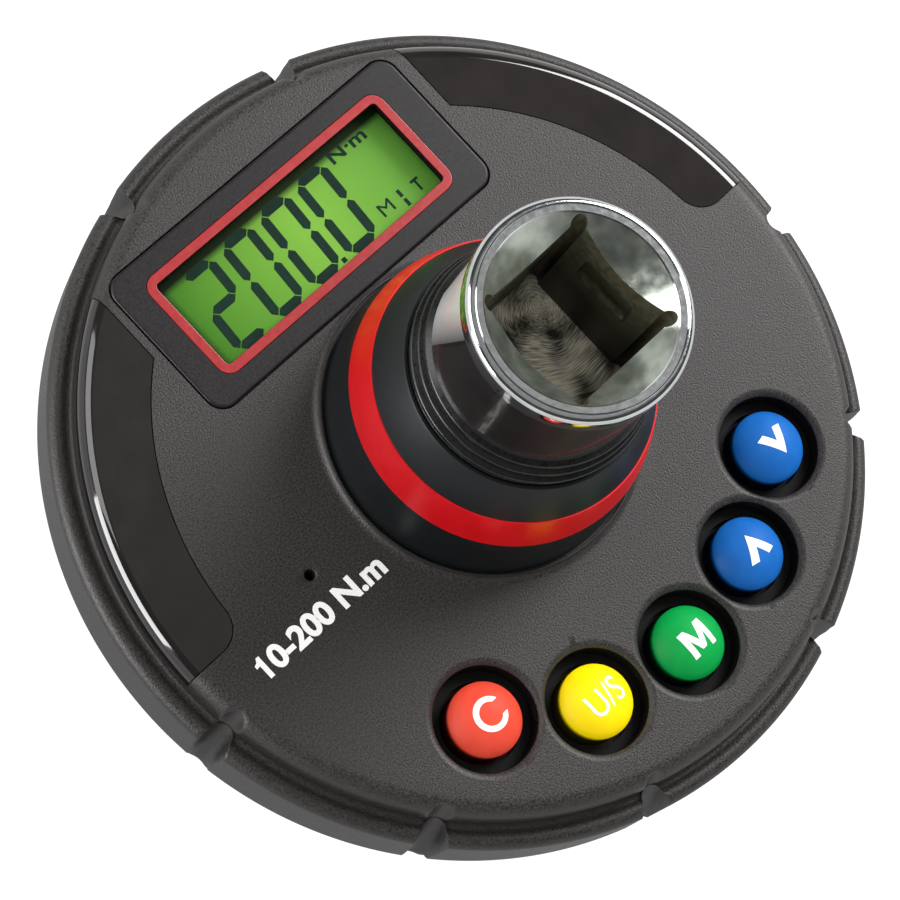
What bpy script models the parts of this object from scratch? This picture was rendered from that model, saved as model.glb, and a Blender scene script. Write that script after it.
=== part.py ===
# Digital torque and angle gauge: a square drive shaft that carries a round instrument housing.
# Frame: metres, +Z along the shaft from the male square up to the female square, +Y towards the
# display. The origin is the middle of the male square's end face.
#
# The hard part is the top cover: one moulded shell whose turned crown is cut by eight small
# grip flutes, five stepped button wells and two window seats that wrap its shoulder.

import math

import bmesh
import bpy
from mathutils import Matrix, Vector

MM = 0.001

# Driving sizes
HOUSING_RADIUS = 44.0 * MM
HOUSING_DEPTH = 20.0 * MM
SQUARE_DRIVE = 12.7 * MM
DRIVE_PLAY = 0.15 * MM
MALE_LENGTH = 15.0 * MM
SHOULDER_PROUD = 1.0 * MM
HEAD_RISE = 35.8 * MM

# Clearances
SEAT_GAP = 0.3 * MM
SLIP_GAP = 0.3 * MM
CUT_OVER = 1.0 * MM

# Shaft
FEMALE_DEPTH = 17.5 * MM
MOUTH_MARGIN = 0.3138 * MM
RELIEF_RADIUS = 0.8 * MM
DETENT_GROOVE_DROP = 7.75 * MM
DETENT_GROOVE_LENGTH = 6.6 * MM
DETENT_GROOVE_HEIGHT = 4.1 * MM
DETENT_GROOVE_DEPTH = 0.8 * MM
HEAD_ROUND = 0.75 * MM
HEAD_BAND = 2.4 * MM
NECK_WALL = 1.45 * MM
HEAD_PROUD = 0.25 * MM
JOURNAL_MARGIN = 1.0197 * MM
GAUGE_WAIST = 2.4 * MM
GAUGE_FLAT_DEPTH = 1.2 * MM
TIP_CHAMFER = 1.0 * MM
MALE_EDGE = 0.8 * MM
BALL_RADIUS = 2.0 * MM
BALL_PROUD = 0.8 * MM
BALL_DROP = 7.75 * MM
BALL_TRAVEL = 0.6 * MM
SPRING_WIRE = 0.3 * MM
SPRING_LENGTH = 4.2 * MM
SPRING_TURNS = 3

# Top cover
WALL = 2.0 * MM
LIP_WIDTH = 2.6 * MM
SHOULDER_ROUND = 1.9 * MM
COVE_START = 2.9 * MM
COVE_ROUND = 2.4 * MM
LIP_BOTTOM = 11.75 * MM
LIP_EDGE = 0.3 * MM
SKIRT_WALL = 4.6 * MM
RIM_HEIGHT = 0.6 * MM
RIM_WIDTH = 1.3 * MM
HUB_WALL = 3.2 * MM
FLUTE_ANGLES = (74, 106, -8, -40, -72, -108, -140, -172)
FLUTE_RADIUS = 1.7 * MM
FLUTE_DEPTH = 0.95 * MM
FLUTE_LEAN = 13.5
SOUND_HOLE = (-25.1 * MM, -0.2 * MM)
SOUND_HOLE_RADIUS = 0.55 * MM

# Collar, red band and neck seal
COLLAR_MARGIN = 5.75 * MM
COLLAR_OGIVE = 28.0 * MM
COLLAR_TOP = 18.2 * MM
COLLAR_WALL = 2.2 * MM
BAND_LOW = 8.7 * MM
BAND_HIGH = 13.2 * MM
BAND_DEPTH = 0.8 * MM
SEAL_SKIN = 0.9 * MM
SEAL_SPIGOT = 3.0 * MM
RIDGES = 3
RIDGE_PITCH = 1.35 * MM
RIDGE_PROUD = 0.45 * MM
RIDGE_STEP = 0.3 * MM
RIDGE_LAND = 0.55 * MM

# Buttons
BUTTON_INSET = 12.54 * MM
BUTTON_PITCH = 21.9
BUTTON_NAMES = ("clear", "units", "mode", "up", "down")
WELL_RADIUS = 5.475 * MM
WELL_ROUND = 0.6 * MM
WELL_DEPTH = 2.6 * MM
WELL_FLOOR = 1.0 * MM
WELL_TUBE = 1.2 * MM
CAP_RADIUS = 4.0 * MM
CAP_CROWN = 1.4 * MM
CAP_EDGE_DROP = 0.6 * MM
CAP_FLANGE = 0.8 * MM
BUTTON_TRAVEL = 0.6 * MM

# Display, just clear of the collar
DISPLAY_X = -0.3 * MM
DISPLAY_GAP = 1.0 * MM
VIEW_SIZE = (31.9 * MM, 10.9 * MM)
FRAME_BORDER = (1.15 * MM, 1.25 * MM)
BEZEL_BORDER = (3.15 * MM, 2.1 * MM)
BEZEL_CORNER = 2.0 * MM
BEZEL_PROUD = 0.15 * MM
BEZEL_PLATE = 1.1 * MM
BEZEL_LEDGE = 2.0 * MM
FRAME_CORNER = 1.2 * MM
FRAME_THICK = 0.4 * MM
LENS_THICK = 0.5 * MM
LENS_MARGIN = 0.9 * MM
LCD_THICK = 1.1 * MM
BACKLIGHT_THICK = 2.4 * MM
STRIP_WIDTH = 1.0 * MM

# Smoked windows
WINDOW_INSET = 9.8 * MM
WINDOW_GAP = 1.45 * MM
WINDOW_END_Y = 0.0 * MM
WINDOW_CORNER = 3.0 * MM
WINDOW_THICK = 1.2 * MM
LIGHT_SLOT_INSET = 1.4 * MM
LIGHT_SLOT_WIDTH = 2.8 * MM
LIGHT_SLOT_ANGLES = (133, 170)

# Bottom cover, gasket and screws
GASKET_THICK = 0.6 * MM
BASE_STEP = 0.8 * MM
BASE_SLOPE = 3.8 * MM
BASE_SIDE = 1.4 * MM
SPIGOT_WALL = 1.5 * MM
BORE_LIP = 1.6 * MM
SCREW_INSET = 11.0 * MM
SCREW_ANGLES = (25, 155, -155, -25)
SCREW_SHANK = 1.3 * MM
SCREW_HEAD = 2.9 * MM
SCREW_HEAD_HEIGHT = 2.2 * MM
SCREW_LENGTH = 9.5 * MM
SCREW_SUNK = 0.5 * MM
SCREW_CROSS = 0.8 * MM
POST_WALL = 0.9 * MM
BOSS_RADIUS = 3.0 * MM
BOSS_LENGTH = 9.6 * MM

# Board and what stands on it
BOARD_DROP = 8.4 * MM
BOARD_THICK = 1.6 * MM
BOARD_PLAY = 1.2 * MM
BOARD_BORE_PLAY = 3.35 * MM
SWITCH_SIZE = 6.0 * MM
SWITCH_HEIGHT = 2.0 * MM
SWITCH_STEM = 1.7 * MM
BUZZER_RADIUS = 4.5 * MM
BUZZER_HEIGHT = 3.4 * MM
LED_INSET = 7.8 * MM
LED_ANGLES = (142, 164, 38, 16)
LED_SIZE = (2.0 * MM, 3.2 * MM, 1.6 * MM)
CHIP_PLACE = (23.0 * MM, -2.0 * MM)
CHIP_SIZE = (10.0 * MM, 10.0 * MM, 1.4 * MM)
CHIP_CORNER = 0.3 * MM
SENSOR_PLACE = (21.0 * MM, 10.0 * MM)
SENSOR_SIZE = (5.0 * MM, 5.0 * MM, 1.2 * MM)

# Hub that holds the housing on the shaft
HUB_HEIGHT = 6.0 * MM
HUB_THICK = 2.6 * MM
HUB_PIN_RADIUS = 1.0 * MM
HUB_PIN_BITE = 2.4 * MM
GAUGE_PAD = (5.0 * MM, 0.5 * MM, 6.0 * MM)

# Retaining ring and lower seal
RING_THICK = 1.0 * MM
RING_GROOVE = 1.2 * MM
RING_WIDTH = 2.2 * MM
RING_MOUTH = 3.1 * MM
LOWER_SEAL_WIDTH = 1.3 * MM

# Coin cell and its quarter-turn cap
CELL_WEB = 1.2 * MM
CELL_RADIUS = 10.0 * MM
CELL_THICK = 3.2 * MM
CAP_FLOOR = 1.4 * MM
CAP_NECK_WALL = 0.9 * MM
CAP_NECK_RISE = 4.4 * MM
COIN_CAP_FLANGE = 1.4 * MM
COIN_CAP_PLATE = 0.7 * MM
CAP_SEAL_THICK = 0.5 * MM
LUG_THICK = 1.0 * MM
LUG_REACH = 1.2 * MM
LUG_WIDTH = 5.0 * MM
LUG_ANGLES = (185, 5)
CAP_TURN = 35
COIN_SLOT = (14.0 * MM, 2.0 * MM)
COIN_SLOT_DEPTH = 0.9 * MM
TRAY_WALL = 1.2 * MM
CONTACT_STRIP = (3.0 * MM, 0.3 * MM)

# Radii and plan sizes that follow from those above
FEMALE_SQUARE = SQUARE_DRIVE + DRIVE_PLAY
MOUTH_RADIUS = FEMALE_SQUARE / math.sqrt(2) + MOUTH_MARGIN
NECK_RADIUS = MOUTH_RADIUS + NECK_WALL
HEAD_RADIUS = NECK_RADIUS + HEAD_PROUD
JOURNAL_RADIUS = SQUARE_DRIVE / math.sqrt(2) + JOURNAL_MARGIN
GAUGE_RADIUS = JOURNAL_RADIUS - GAUGE_WAIST
GAUGE_FLAT = GAUGE_RADIUS - GAUGE_FLAT_DEPTH
COLLAR_RADIUS = NECK_RADIUS + COLLAR_MARGIN
SHOULDER_RADIUS = HOUSING_RADIUS - LIP_WIDTH
SHOULDER_START = SHOULDER_RADIUS - SHOULDER_ROUND
BUTTON_CIRCLE = HOUSING_RADIUS - BUTTON_INSET
SCREW_CIRCLE = HOUSING_RADIUS - SCREW_INSET
LED_CIRCLE = HOUSING_RADIUS - LED_INSET
WINDOW_INNER = HOUSING_RADIUS - WINDOW_INSET
LIGHT_SLOT_INNER = WINDOW_INNER + LIGHT_SLOT_INSET
LIGHT_SLOT_OUTER = LIGHT_SLOT_INNER + LIGHT_SLOT_WIDTH
SKIRT_RADIUS = HOUSING_RADIUS - SKIRT_WALL
BASE_EDGE_RADIUS = HOUSING_RADIUS - BASE_STEP
BASE_FLAT_RADIUS = BASE_EDGE_RADIUS - BASE_SLOPE
BOARD_RADIUS = SKIRT_RADIUS - BOARD_PLAY
BOARD_BORE = NECK_RADIUS + BOARD_BORE_PLAY
FRAME_SIZE = (VIEW_SIZE[0] + 2 * FRAME_BORDER[0], VIEW_SIZE[1] + 2 * FRAME_BORDER[1])
BEZEL_SIZE = (FRAME_SIZE[0] + 2 * BEZEL_BORDER[0], FRAME_SIZE[1] + 2 * BEZEL_BORDER[1])
DISPLAY_Y = COLLAR_RADIUS + DISPLAY_GAP + BEZEL_SIZE[1] / 2
WINDOW_SIDE = BEZEL_SIZE[0] / 2 + WINDOW_GAP

CELL_NECK = CELL_RADIUS + SLIP_GAP + CAP_NECK_WALL
SHAFT_BORE = JOURNAL_RADIUS + SLIP_GAP
SEAL_BORE = SHAFT_BORE + LOWER_SEAL_WIDTH + SLIP_GAP
CELL_Y = SEAL_BORE + CELL_WEB + CELL_NECK + COIN_CAP_FLANGE + SLIP_GAP

# Levels along the shaft
SHOULDER_Z = MALE_LENGTH
BASE_Z = SHOULDER_Z + SHOULDER_PROUD
TOP_Z = BASE_Z + HOUSING_DEPTH
HEAD_Z = TOP_Z + HEAD_RISE
BOARD_TOP = TOP_Z - BOARD_DROP
BOARD_LOW = BOARD_TOP - BOARD_THICK
SPLIT_Z = TOP_Z - LIP_BOTTOM
FLOOR_Z = BASE_Z + WALL
GROOVE_LOW = FLOOR_Z + BORE_LIP + SEAT_GAP
GROOVE_HIGH = GROOVE_LOW + RING_THICK + 2 * SLIP_GAP
GAUGE_LOW = GROOVE_HIGH + RING_GROOVE
GAUGE_HIGH = TOP_Z - HUB_WALL

# Facets of round shapes
HOUSING_STEPS = 40
COLLAR_STEPS = 28
SHAFT_STEPS = 28
CELL_STEPS = 20
SMALL_STEPS = 14
TINY_STEPS = 8
COIL_STEPS = 7
FINE_CORNER = 1.0 * MM


for old in list(bpy.data.objects):
    bpy.data.objects.remove(old, do_unlink=True)


def new_collection(name):
    group = bpy.data.collections.new(name)
    bpy.context.scene.collection.children.link(group)
    return group


PARTS = new_collection("torque_angle_gauge")
CUTTERS = new_collection("cutters")


def material(name, colour, roughness, metallic=0.0):
    """A Principled material; colour is linear red, green, blue."""
    mat = bpy.data.materials.new(name)
    mat.use_nodes = True
    shader = mat.node_tree.nodes["Principled BSDF"]
    shader.inputs["Base Color"].default_value = (*colour, 1.0)
    shader.inputs["Roughness"].default_value = roughness
    shader.inputs["Metallic"].default_value = metallic
    return mat


CHROME = material("chromed_steel", (0.72, 0.72, 0.70), 0.12, 1.0)
STEEL = material("bright_steel", (0.55, 0.55, 0.55), 0.30, 1.0)
HOUSING = material("grained_abs", (0.075, 0.068, 0.068), 0.55)
BEZEL = material("satin_bezel", (0.058, 0.055, 0.060), 0.35)
RED = material("red_gloss", (0.60, 0.010, 0.020), 0.25)
COLLAR = material("collar_plastic", (0.018, 0.025, 0.032), 0.40)
SEAL = material("black_rubber", (0.010, 0.010, 0.010), 0.30)
SMOKE = material("smoked_acrylic", (0.028, 0.025, 0.024), 0.08)
CLEAR = material("clear_acrylic", (0.85, 0.90, 0.88), 0.03)
LCD = material("lcd_glass", (0.12, 0.36, 0.05), 0.15)
DIFFUSER = material("white_diffuser", (0.70, 0.80, 0.60), 0.40)
BOARD = material("board_laminate", (0.02, 0.16, 0.06), 0.45)
BLACK = material("black_moulding", (0.015, 0.015, 0.015), 0.45)
LED = material("led_lens", (0.80, 0.80, 0.75), 0.20)
GOLD = material("polyimide_foil", (0.65, 0.35, 0.08), 0.35)
BLUE = material("button_blue", (0.01, 0.09, 0.42), 0.18)
CAP_COLOURS = {
    "clear": material("button_red", (0.75, 0.08, 0.05), 0.18),
    "units": material("button_yellow", (0.90, 0.78, 0.01), 0.18),
    "mode": material("button_green", (0.01, 0.30, 0.05), 0.18),
    "up": BLUE,
    "down": BLUE,
}


def adopt(obj, mat=None):
    """Put a finished part in the parts collection, or a cutter among the cutters."""
    for group in list(obj.users_collection):
        group.objects.unlink(obj)
    if mat is None:
        CUTTERS.objects.link(obj)
        obj.hide_render = True
        obj.display_type = "WIRE"
        return obj
    PARTS.objects.link(obj)
    obj.data.materials.clear()
    obj.data.materials.append(mat)
    return obj


def mesh_object(name, mesh, mat=None):
    obj = bpy.data.objects.new(name, mesh)
    CUTTERS.objects.link(obj)
    return adopt(obj, mat)


def smooth(obj):
    obj.data.shade_smooth()
    obj.data.set_sharp_from_angle(angle=math.radians(35))
    return obj


def evaluated_mesh(obj):
    graph = bpy.context.evaluated_depsgraph_get()
    graph.update()
    return bpy.data.meshes.new_from_object(obj.evaluated_get(graph))


def freeze(obj):
    """Apply an object's modifiers by keeping its evaluated mesh."""
    mesh = evaluated_mesh(obj)
    obj.modifiers.clear()
    obj.data = mesh
    return obj


def area_of(profile):
    total = 0.0
    for (r0, z0), (r1, z1) in zip(profile, profile[1:] + profile[:1]):
        total += r0 * z1 - r1 * z0
    return total / 2


def turned(name, profile, steps, mat=None, at=(0.0, 0.0)):
    """Turn a closed profile of (radius, height) points about a vertical axis."""
    points = list(profile)
    if area_of(points) > 0:
        points.reverse()
    on_axis = [r < 1e-9 for r, z in points]
    if any(on_axis):
        while not (on_axis[0] and on_axis[-1]):
            points = points[1:] + points[:1]
            on_axis = on_axis[1:] + on_axis[:1]
    closed = not any(on_axis)
    shape = bmesh.new()
    verts = [shape.verts.new((r, 0.0, z)) for r, z in points]
    for first, second in zip(verts, verts[1:]):
        shape.edges.new((first, second))
    if closed:
        shape.edges.new((verts[-1], verts[0]))
    mesh = bpy.data.meshes.new(name)
    shape.to_mesh(mesh)
    shape.free()
    obj = mesh_object(name, mesh, mat)
    screw = obj.modifiers.new("turn", "SCREW")
    screw.axis = "Z"
    screw.angle = math.tau
    screw.steps = steps
    screw.render_steps = steps
    screw.use_merge_vertices = True
    screw.merge_threshold = 0.00001
    obj.location = (at[0], at[1], 0.0)
    return obj


def cylinder(name, radius, low, high, steps, mat=None, at=(0.0, 0.0)):
    """A vertical cylinder between two heights."""
    mesh = bpy.data.meshes.new(name)
    shape = bmesh.new()
    bmesh.ops.create_cone(shape, cap_ends=True, segments=steps, radius1=radius, radius2=radius,
                          depth=high - low)
    bmesh.ops.translate(shape, verts=shape.verts, vec=(0.0, 0.0, (low + high) / 2))
    shape.to_mesh(mesh)
    shape.free()
    obj = mesh_object(name, mesh, mat)
    obj.location = (at[0], at[1], 0.0)
    return obj


def rod(name, radius, start, end, steps, mat=None):
    """A round rod between two points."""
    span = Vector(end) - Vector(start)
    mesh = bpy.data.meshes.new(name)
    shape = bmesh.new()
    bmesh.ops.create_cone(shape, cap_ends=True, segments=steps, radius1=radius, radius2=radius,
                          depth=span.length)
    turn = span.to_track_quat("Z", "Y").to_matrix().to_4x4()
    middle = (Vector(start) + Vector(end)) / 2
    bmesh.ops.transform(shape, matrix=Matrix.Translation(middle) @ turn, verts=shape.verts)
    shape.to_mesh(mesh)
    shape.free()
    return mesh_object(name, mesh, mat)


def block(name, size, low, mat=None, at=(0.0, 0.0), corner=0.0, turn=0.0):
    """A box with its foot at a height and, if asked, round vertical corners."""
    mesh = bpy.data.meshes.new(name)
    shape = bmesh.new()
    bmesh.ops.create_cube(shape, size=1.0)
    bmesh.ops.scale(shape, vec=size, verts=shape.verts)
    bmesh.ops.translate(shape, vec=(0.0, 0.0, low + size[2] / 2), verts=shape.verts)
    if corner > 0:
        upright = [e for e in shape.edges
                   if abs(e.verts[0].co.z - e.verts[1].co.z) > size[2] / 2]
        steps = 4 if corner > FINE_CORNER else 2
        bmesh.ops.bevel(shape, geom=upright, offset=corner, segments=steps, profile=0.5,
                        affect="EDGES")
    shape.to_mesh(mesh)
    shape.free()
    obj = mesh_object(name, mesh, mat)
    obj.location = (at[0], at[1], 0.0)
    obj.rotation_euler = (0.0, 0.0, math.radians(turn))
    return obj


def slab(name, outline, low, high):
    """A flat outline drawn as a filled curve, raised between two heights, as a mesh."""
    curve = bpy.data.curves.new(name, "CURVE")
    curve.dimensions = "2D"
    curve.fill_mode = "BOTH"
    curve.extrude = (high - low) / 2
    line = curve.splines.new("POLY")
    line.points.add(len(outline) - 1)
    for point, (x, y) in zip(line.points, outline):
        point.co = (x, y, 0.0, 1.0)
    line.use_cyclic_u = True
    drawn = bpy.data.objects.new(name + "_outline", curve)
    drawn.location = (0.0, 0.0, (low + high) / 2)
    CUTTERS.objects.link(drawn)
    mesh = evaluated_mesh(drawn)
    place = drawn.matrix_world.copy()
    bpy.data.objects.remove(drawn)
    shape = bmesh.new()
    shape.from_mesh(mesh)
    bmesh.ops.remove_doubles(shape, verts=shape.verts, dist=0.000001)
    bmesh.ops.recalc_face_normals(shape, faces=shape.faces)
    shape.to_mesh(mesh)
    shape.free()
    obj = mesh_object(name, mesh)
    obj.matrix_world = place
    return obj


def combine(obj, cutter, operation):
    mod = obj.modifiers.new(operation.lower(), "BOOLEAN")
    mod.operation = operation
    mod.object = cutter
    return obj


def cut(obj, cutter):
    return combine(obj, cutter, "DIFFERENCE")


def add(obj, piece):
    return combine(obj, piece, "UNION")


def polar(radius, degrees):
    angle = math.radians(degrees)
    return (radius * math.cos(angle), radius * math.sin(angle))


def arc(centre, radius, start, end, count):
    """Points on an arc in a profile or a plan, angles in degrees."""
    points = []
    for i in range(count + 1):
        angle = math.radians(start + (end - start) * i / count)
        points.append((centre[0] + radius * math.cos(angle), centre[1] + radius * math.sin(angle)))
    return points


def crown_outline(inset):
    """The crown from the flat top over the shoulder to the cove, set in by a distance."""
    turn = (SHOULDER_START, TOP_Z - SHOULDER_ROUND)
    return arc(turn, SHOULDER_ROUND - inset, 90, 0, 3)


def ogive(height, inset=0.0):
    """The collar's radius at a height above the housing's flat top."""
    return COLLAR_RADIUS * math.sqrt(1 - (height / COLLAR_OGIVE) ** 2) - inset


def make_shaft():
    profile = [
        (0.0, HEAD_Z),
        (HEAD_RADIUS - HEAD_ROUND, HEAD_Z),
        *arc((HEAD_RADIUS - HEAD_ROUND, HEAD_Z - HEAD_ROUND), HEAD_ROUND, 60, 0, 2),
        (HEAD_RADIUS, HEAD_Z - HEAD_BAND),
        (NECK_RADIUS, HEAD_Z - HEAD_BAND - (HEAD_RADIUS - NECK_RADIUS)),
        (NECK_RADIUS, GAUGE_HIGH),
        (GAUGE_RADIUS, GAUGE_HIGH - (NECK_RADIUS - GAUGE_RADIUS) / 2),
        (GAUGE_RADIUS, GAUGE_LOW + (JOURNAL_RADIUS - GAUGE_RADIUS) / 2),
        (JOURNAL_RADIUS, GAUGE_LOW),
        (JOURNAL_RADIUS, GROOVE_HIGH),
        (JOURNAL_RADIUS - RING_GROOVE, GROOVE_HIGH),
        (JOURNAL_RADIUS - RING_GROOVE, GROOVE_LOW),
        (JOURNAL_RADIUS, GROOVE_LOW),
        (JOURNAL_RADIUS, SHOULDER_Z),
        (0.0, SHOULDER_Z),
    ]
    shaft = turned("drive_shaft", profile, SHAFT_STEPS, CHROME)
    male = bpy.data.meshes.new("male_square")
    shape = bmesh.new()
    bmesh.ops.create_cube(shape, size=1.0)
    length = MALE_LENGTH + CUT_OVER
    bmesh.ops.scale(shape, vec=(SQUARE_DRIVE, SQUARE_DRIVE, length), verts=shape.verts)
    bmesh.ops.translate(shape, vec=(0.0, 0.0, length / 2), verts=shape.verts)
    upright = [e for e in shape.edges if abs(e.verts[0].co.z - e.verts[1].co.z) > length / 2]
    bmesh.ops.bevel(shape, geom=upright, offset=MALE_EDGE, segments=2, profile=0.5, affect="EDGES")
    foot = [e for e in shape.edges if max(v.co.z for v in e.verts) < length / 10]
    bmesh.ops.bevel(shape, geom=foot, offset=TIP_CHAMFER, segments=1, affect="EDGES")
    shape.to_mesh(male)
    shape.free()
    add(shaft, mesh_object("male_square", male))
    flat_size = (2 * JOURNAL_RADIUS, JOURNAL_RADIUS, GAUGE_HIGH - GAUGE_LOW - 2 * CUT_OVER)
    for side in (1, -1):
        place = (0.0, side * (GAUGE_FLAT + JOURNAL_RADIUS / 2))
        cut(shaft, block("gauge_flat_cut", flat_size, GAUGE_LOW + CUT_OVER, at=place))
    cut_female_square(shaft)
    ball_z = SHOULDER_Z - BALL_DROP
    depth = SQUARE_DRIVE / 2 + BALL_PROUD - 2 * BALL_RADIUS - BALL_TRAVEL - SEAT_GAP
    hole_end = depth - SPRING_LENGTH - SEAT_GAP
    cut(shaft, rod("ball_hole_cut", BALL_RADIUS + SLIP_GAP, (hole_end, 0.0, ball_z),
                   (SQUARE_DRIVE, 0.0, ball_z), SMALL_STEPS))
    pin_z = TOP_Z + HUB_HEIGHT / 2
    for side in (1, -1):
        inner = (0.0, side * (NECK_RADIUS - HUB_PIN_BITE - SEAT_GAP), pin_z)
        outer = (0.0, side * (NECK_RADIUS + CUT_OVER), pin_z)
        cut(shaft, rod("hub_pin_cut", HUB_PIN_RADIUS + SLIP_GAP, inner, outer, TINY_STEPS))
    return smooth(shaft)


def cut_female_square(shaft):
    """The female square: a square bore with corner reliefs, detent grooves and a countersink."""
    side = FEMALE_SQUARE
    floor = HEAD_Z - FEMALE_DEPTH
    high = FEMALE_DEPTH + CUT_OVER
    bore = block("square_cut", (side, side, high), floor)
    corner = side / 2 - RELIEF_RADIUS / 2
    for x in (corner, -corner):
        for y in (corner, -corner):
            add(bore, cylinder("relief_cut", RELIEF_RADIUS, floor, HEAD_Z + CUT_OVER, TINY_STEPS,
                               at=(x, y)))
    groove_low = HEAD_Z - DETENT_GROOVE_DROP - DETENT_GROOVE_HEIGHT / 2
    reach = side + 2 * DETENT_GROOVE_DEPTH
    size = (reach, DETENT_GROOVE_LENGTH, DETENT_GROOVE_HEIGHT)
    for turn in (0, 90):
        add(bore, block("groove_cut", size, groove_low, turn=turn))
    sink_depth = MOUTH_RADIUS - side / 2
    sink = [(0.0, HEAD_Z + CUT_OVER), (MOUTH_RADIUS, HEAD_Z + CUT_OVER), (MOUTH_RADIUS, HEAD_Z),
            (side / 2, HEAD_Z - sink_depth), (0.0, HEAD_Z - sink_depth)]
    add(bore, turned("countersink_cut", sink, SHAFT_STEPS))
    cut(shaft, bore)


def make_detent():
    ball_z = SHOULDER_Z - BALL_DROP
    ball_x = SQUARE_DRIVE / 2 + BALL_PROUD - BALL_RADIUS
    mesh = bpy.data.meshes.new("detent_ball")
    shape = bmesh.new()
    bmesh.ops.create_uvsphere(shape, u_segments=SMALL_STEPS, v_segments=TINY_STEPS, radius=BALL_RADIUS)
    shape.to_mesh(mesh)
    shape.free()
    ball = mesh_object("detent_ball", mesh, STEEL)
    ball.location = (ball_x, 0.0, ball_z)
    smooth(ball)
    start = ball_x - BALL_RADIUS - BALL_TRAVEL - SEAT_GAP - SPRING_WIRE
    run = SPRING_LENGTH - 2 * SPRING_WIRE
    coil_radius = BALL_RADIUS - 2 * SPRING_WIRE
    curve = bpy.data.curves.new("detent_spring", "CURVE")
    curve.dimensions = "3D"
    curve.bevel_depth = SPRING_WIRE
    curve.bevel_resolution = 2
    curve.use_fill_caps = True
    line = curve.splines.new("POLY")
    count = SPRING_TURNS * COIL_STEPS
    line.points.add(count)
    for i, point in enumerate(line.points):
        angle = math.tau * i / COIL_STEPS
        point.co = (start - run * i / count, coil_radius * math.cos(angle),
                    ball_z + coil_radius * math.sin(angle), 1.0)
    spring = bpy.data.objects.new("detent_spring", curve)
    PARTS.objects.link(spring)
    curve.materials.append(STEEL)


def make_collar():
    """The pointed collar, hollow over the hub, with the groove that holds the red band."""
    low = SEAT_GAP
    groove = BAND_DEPTH
    steps = 2
    outer = [(ogive(h), TOP_Z + h) for h in (COLLAR_TOP, (COLLAR_TOP + BAND_HIGH) / 2)]
    outer += [(ogive(BAND_HIGH + SEAT_GAP), TOP_Z + BAND_HIGH + SEAT_GAP),
              (ogive(BAND_HIGH, groove), TOP_Z + BAND_HIGH + SEAT_GAP),
              (ogive(BAND_LOW, groove), TOP_Z + BAND_LOW - SEAT_GAP)]
    lowest = BAND_LOW - SEAT_GAP
    outer += [(ogive(h), TOP_Z + h) for h in
              [lowest - (lowest - low) * i / 2 for i in range(3)]]
    mouth = NECK_RADIUS + SLIP_GAP + SEAL_SKIN + SLIP_GAP
    ceiling = BAND_HIGH
    inner = [(ogive(h, COLLAR_WALL), TOP_Z + h) for h in
             [low + (ceiling - low) * i / steps for i in range(steps + 1)]]
    inner += [(mouth, TOP_Z + ceiling + COLLAR_WALL / 2), (mouth, TOP_Z + COLLAR_TOP - SEAT_GAP)]
    return smooth(turned("neck_collar", outer + inner, COLLAR_STEPS, COLLAR))


def make_red_band():
    deep = BAND_DEPTH - SEAT_GAP
    profile = [(ogive(BAND_HIGH), TOP_Z + BAND_HIGH),
               (ogive((BAND_LOW + BAND_HIGH) / 2), TOP_Z + (BAND_LOW + BAND_HIGH) / 2),
               (ogive(BAND_LOW), TOP_Z + BAND_LOW),
               (ogive(BAND_LOW, deep), TOP_Z + BAND_LOW),
               (ogive(BAND_HIGH, deep), TOP_Z + BAND_HIGH)]
    return smooth(turned("red_band", profile, COLLAR_STEPS, RED))


def make_neck_seal():
    """A rubber sleeve in the collar's mouth with shrinking ridges above it."""
    inner = NECK_RADIUS + SLIP_GAP
    skin = inner + SEAL_SKIN
    base = TOP_Z + COLLAR_TOP + SEAT_GAP
    top = base + RIDGES * RIDGE_PITCH
    profile = [(inner, base - SEAL_SPIGOT), (inner, top)]
    for i in range(RIDGES - 1, -1, -1):
        crest = skin + RIDGE_PROUD - i * RIDGE_STEP
        valley = crest - RIDGE_PROUD - RIDGE_STEP / 2
        high = base + (i + 1) * RIDGE_PITCH
        slope = (RIDGE_PITCH - RIDGE_LAND) / 2
        profile += [(valley, high), (crest, high - slope), (crest, high - slope - RIDGE_LAND)]
    profile += [(skin, base), (skin, base - SEAL_SPIGOT)]
    return smooth(turned("neck_seal", profile, COLLAR_STEPS, SEAL))


def button_angles():
    half = (len(BUTTON_NAMES) - 1) / 2
    return [-90 + (i - half) * BUTTON_PITCH for i in range(len(BUTTON_NAMES))]


def well_cutter(at):
    """A stepped cutter: the soft rim, the well, the stem hole and the flange's chamber."""
    stem_hole = CAP_RADIUS + SLIP_GAP
    floor = TOP_Z - WELL_DEPTH
    chamber = TOP_Z - WELL_DEPTH - WELL_FLOOR
    rim = WELL_RADIUS + WELL_ROUND
    profile = [(0.0, TOP_Z + CUT_OVER), (rim, TOP_Z + CUT_OVER)]
    profile += arc((rim, TOP_Z - WELL_ROUND), WELL_ROUND, 90, 180, 2)
    profile += [(WELL_RADIUS, floor), (stem_hole, floor), (stem_hole, chamber),
                (WELL_RADIUS, chamber), (WELL_RADIUS, chamber - 2 * WALL), (0.0, chamber - 2 * WALL)]
    return turned("well_cut", profile, SMALL_STEPS, at=at)


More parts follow.
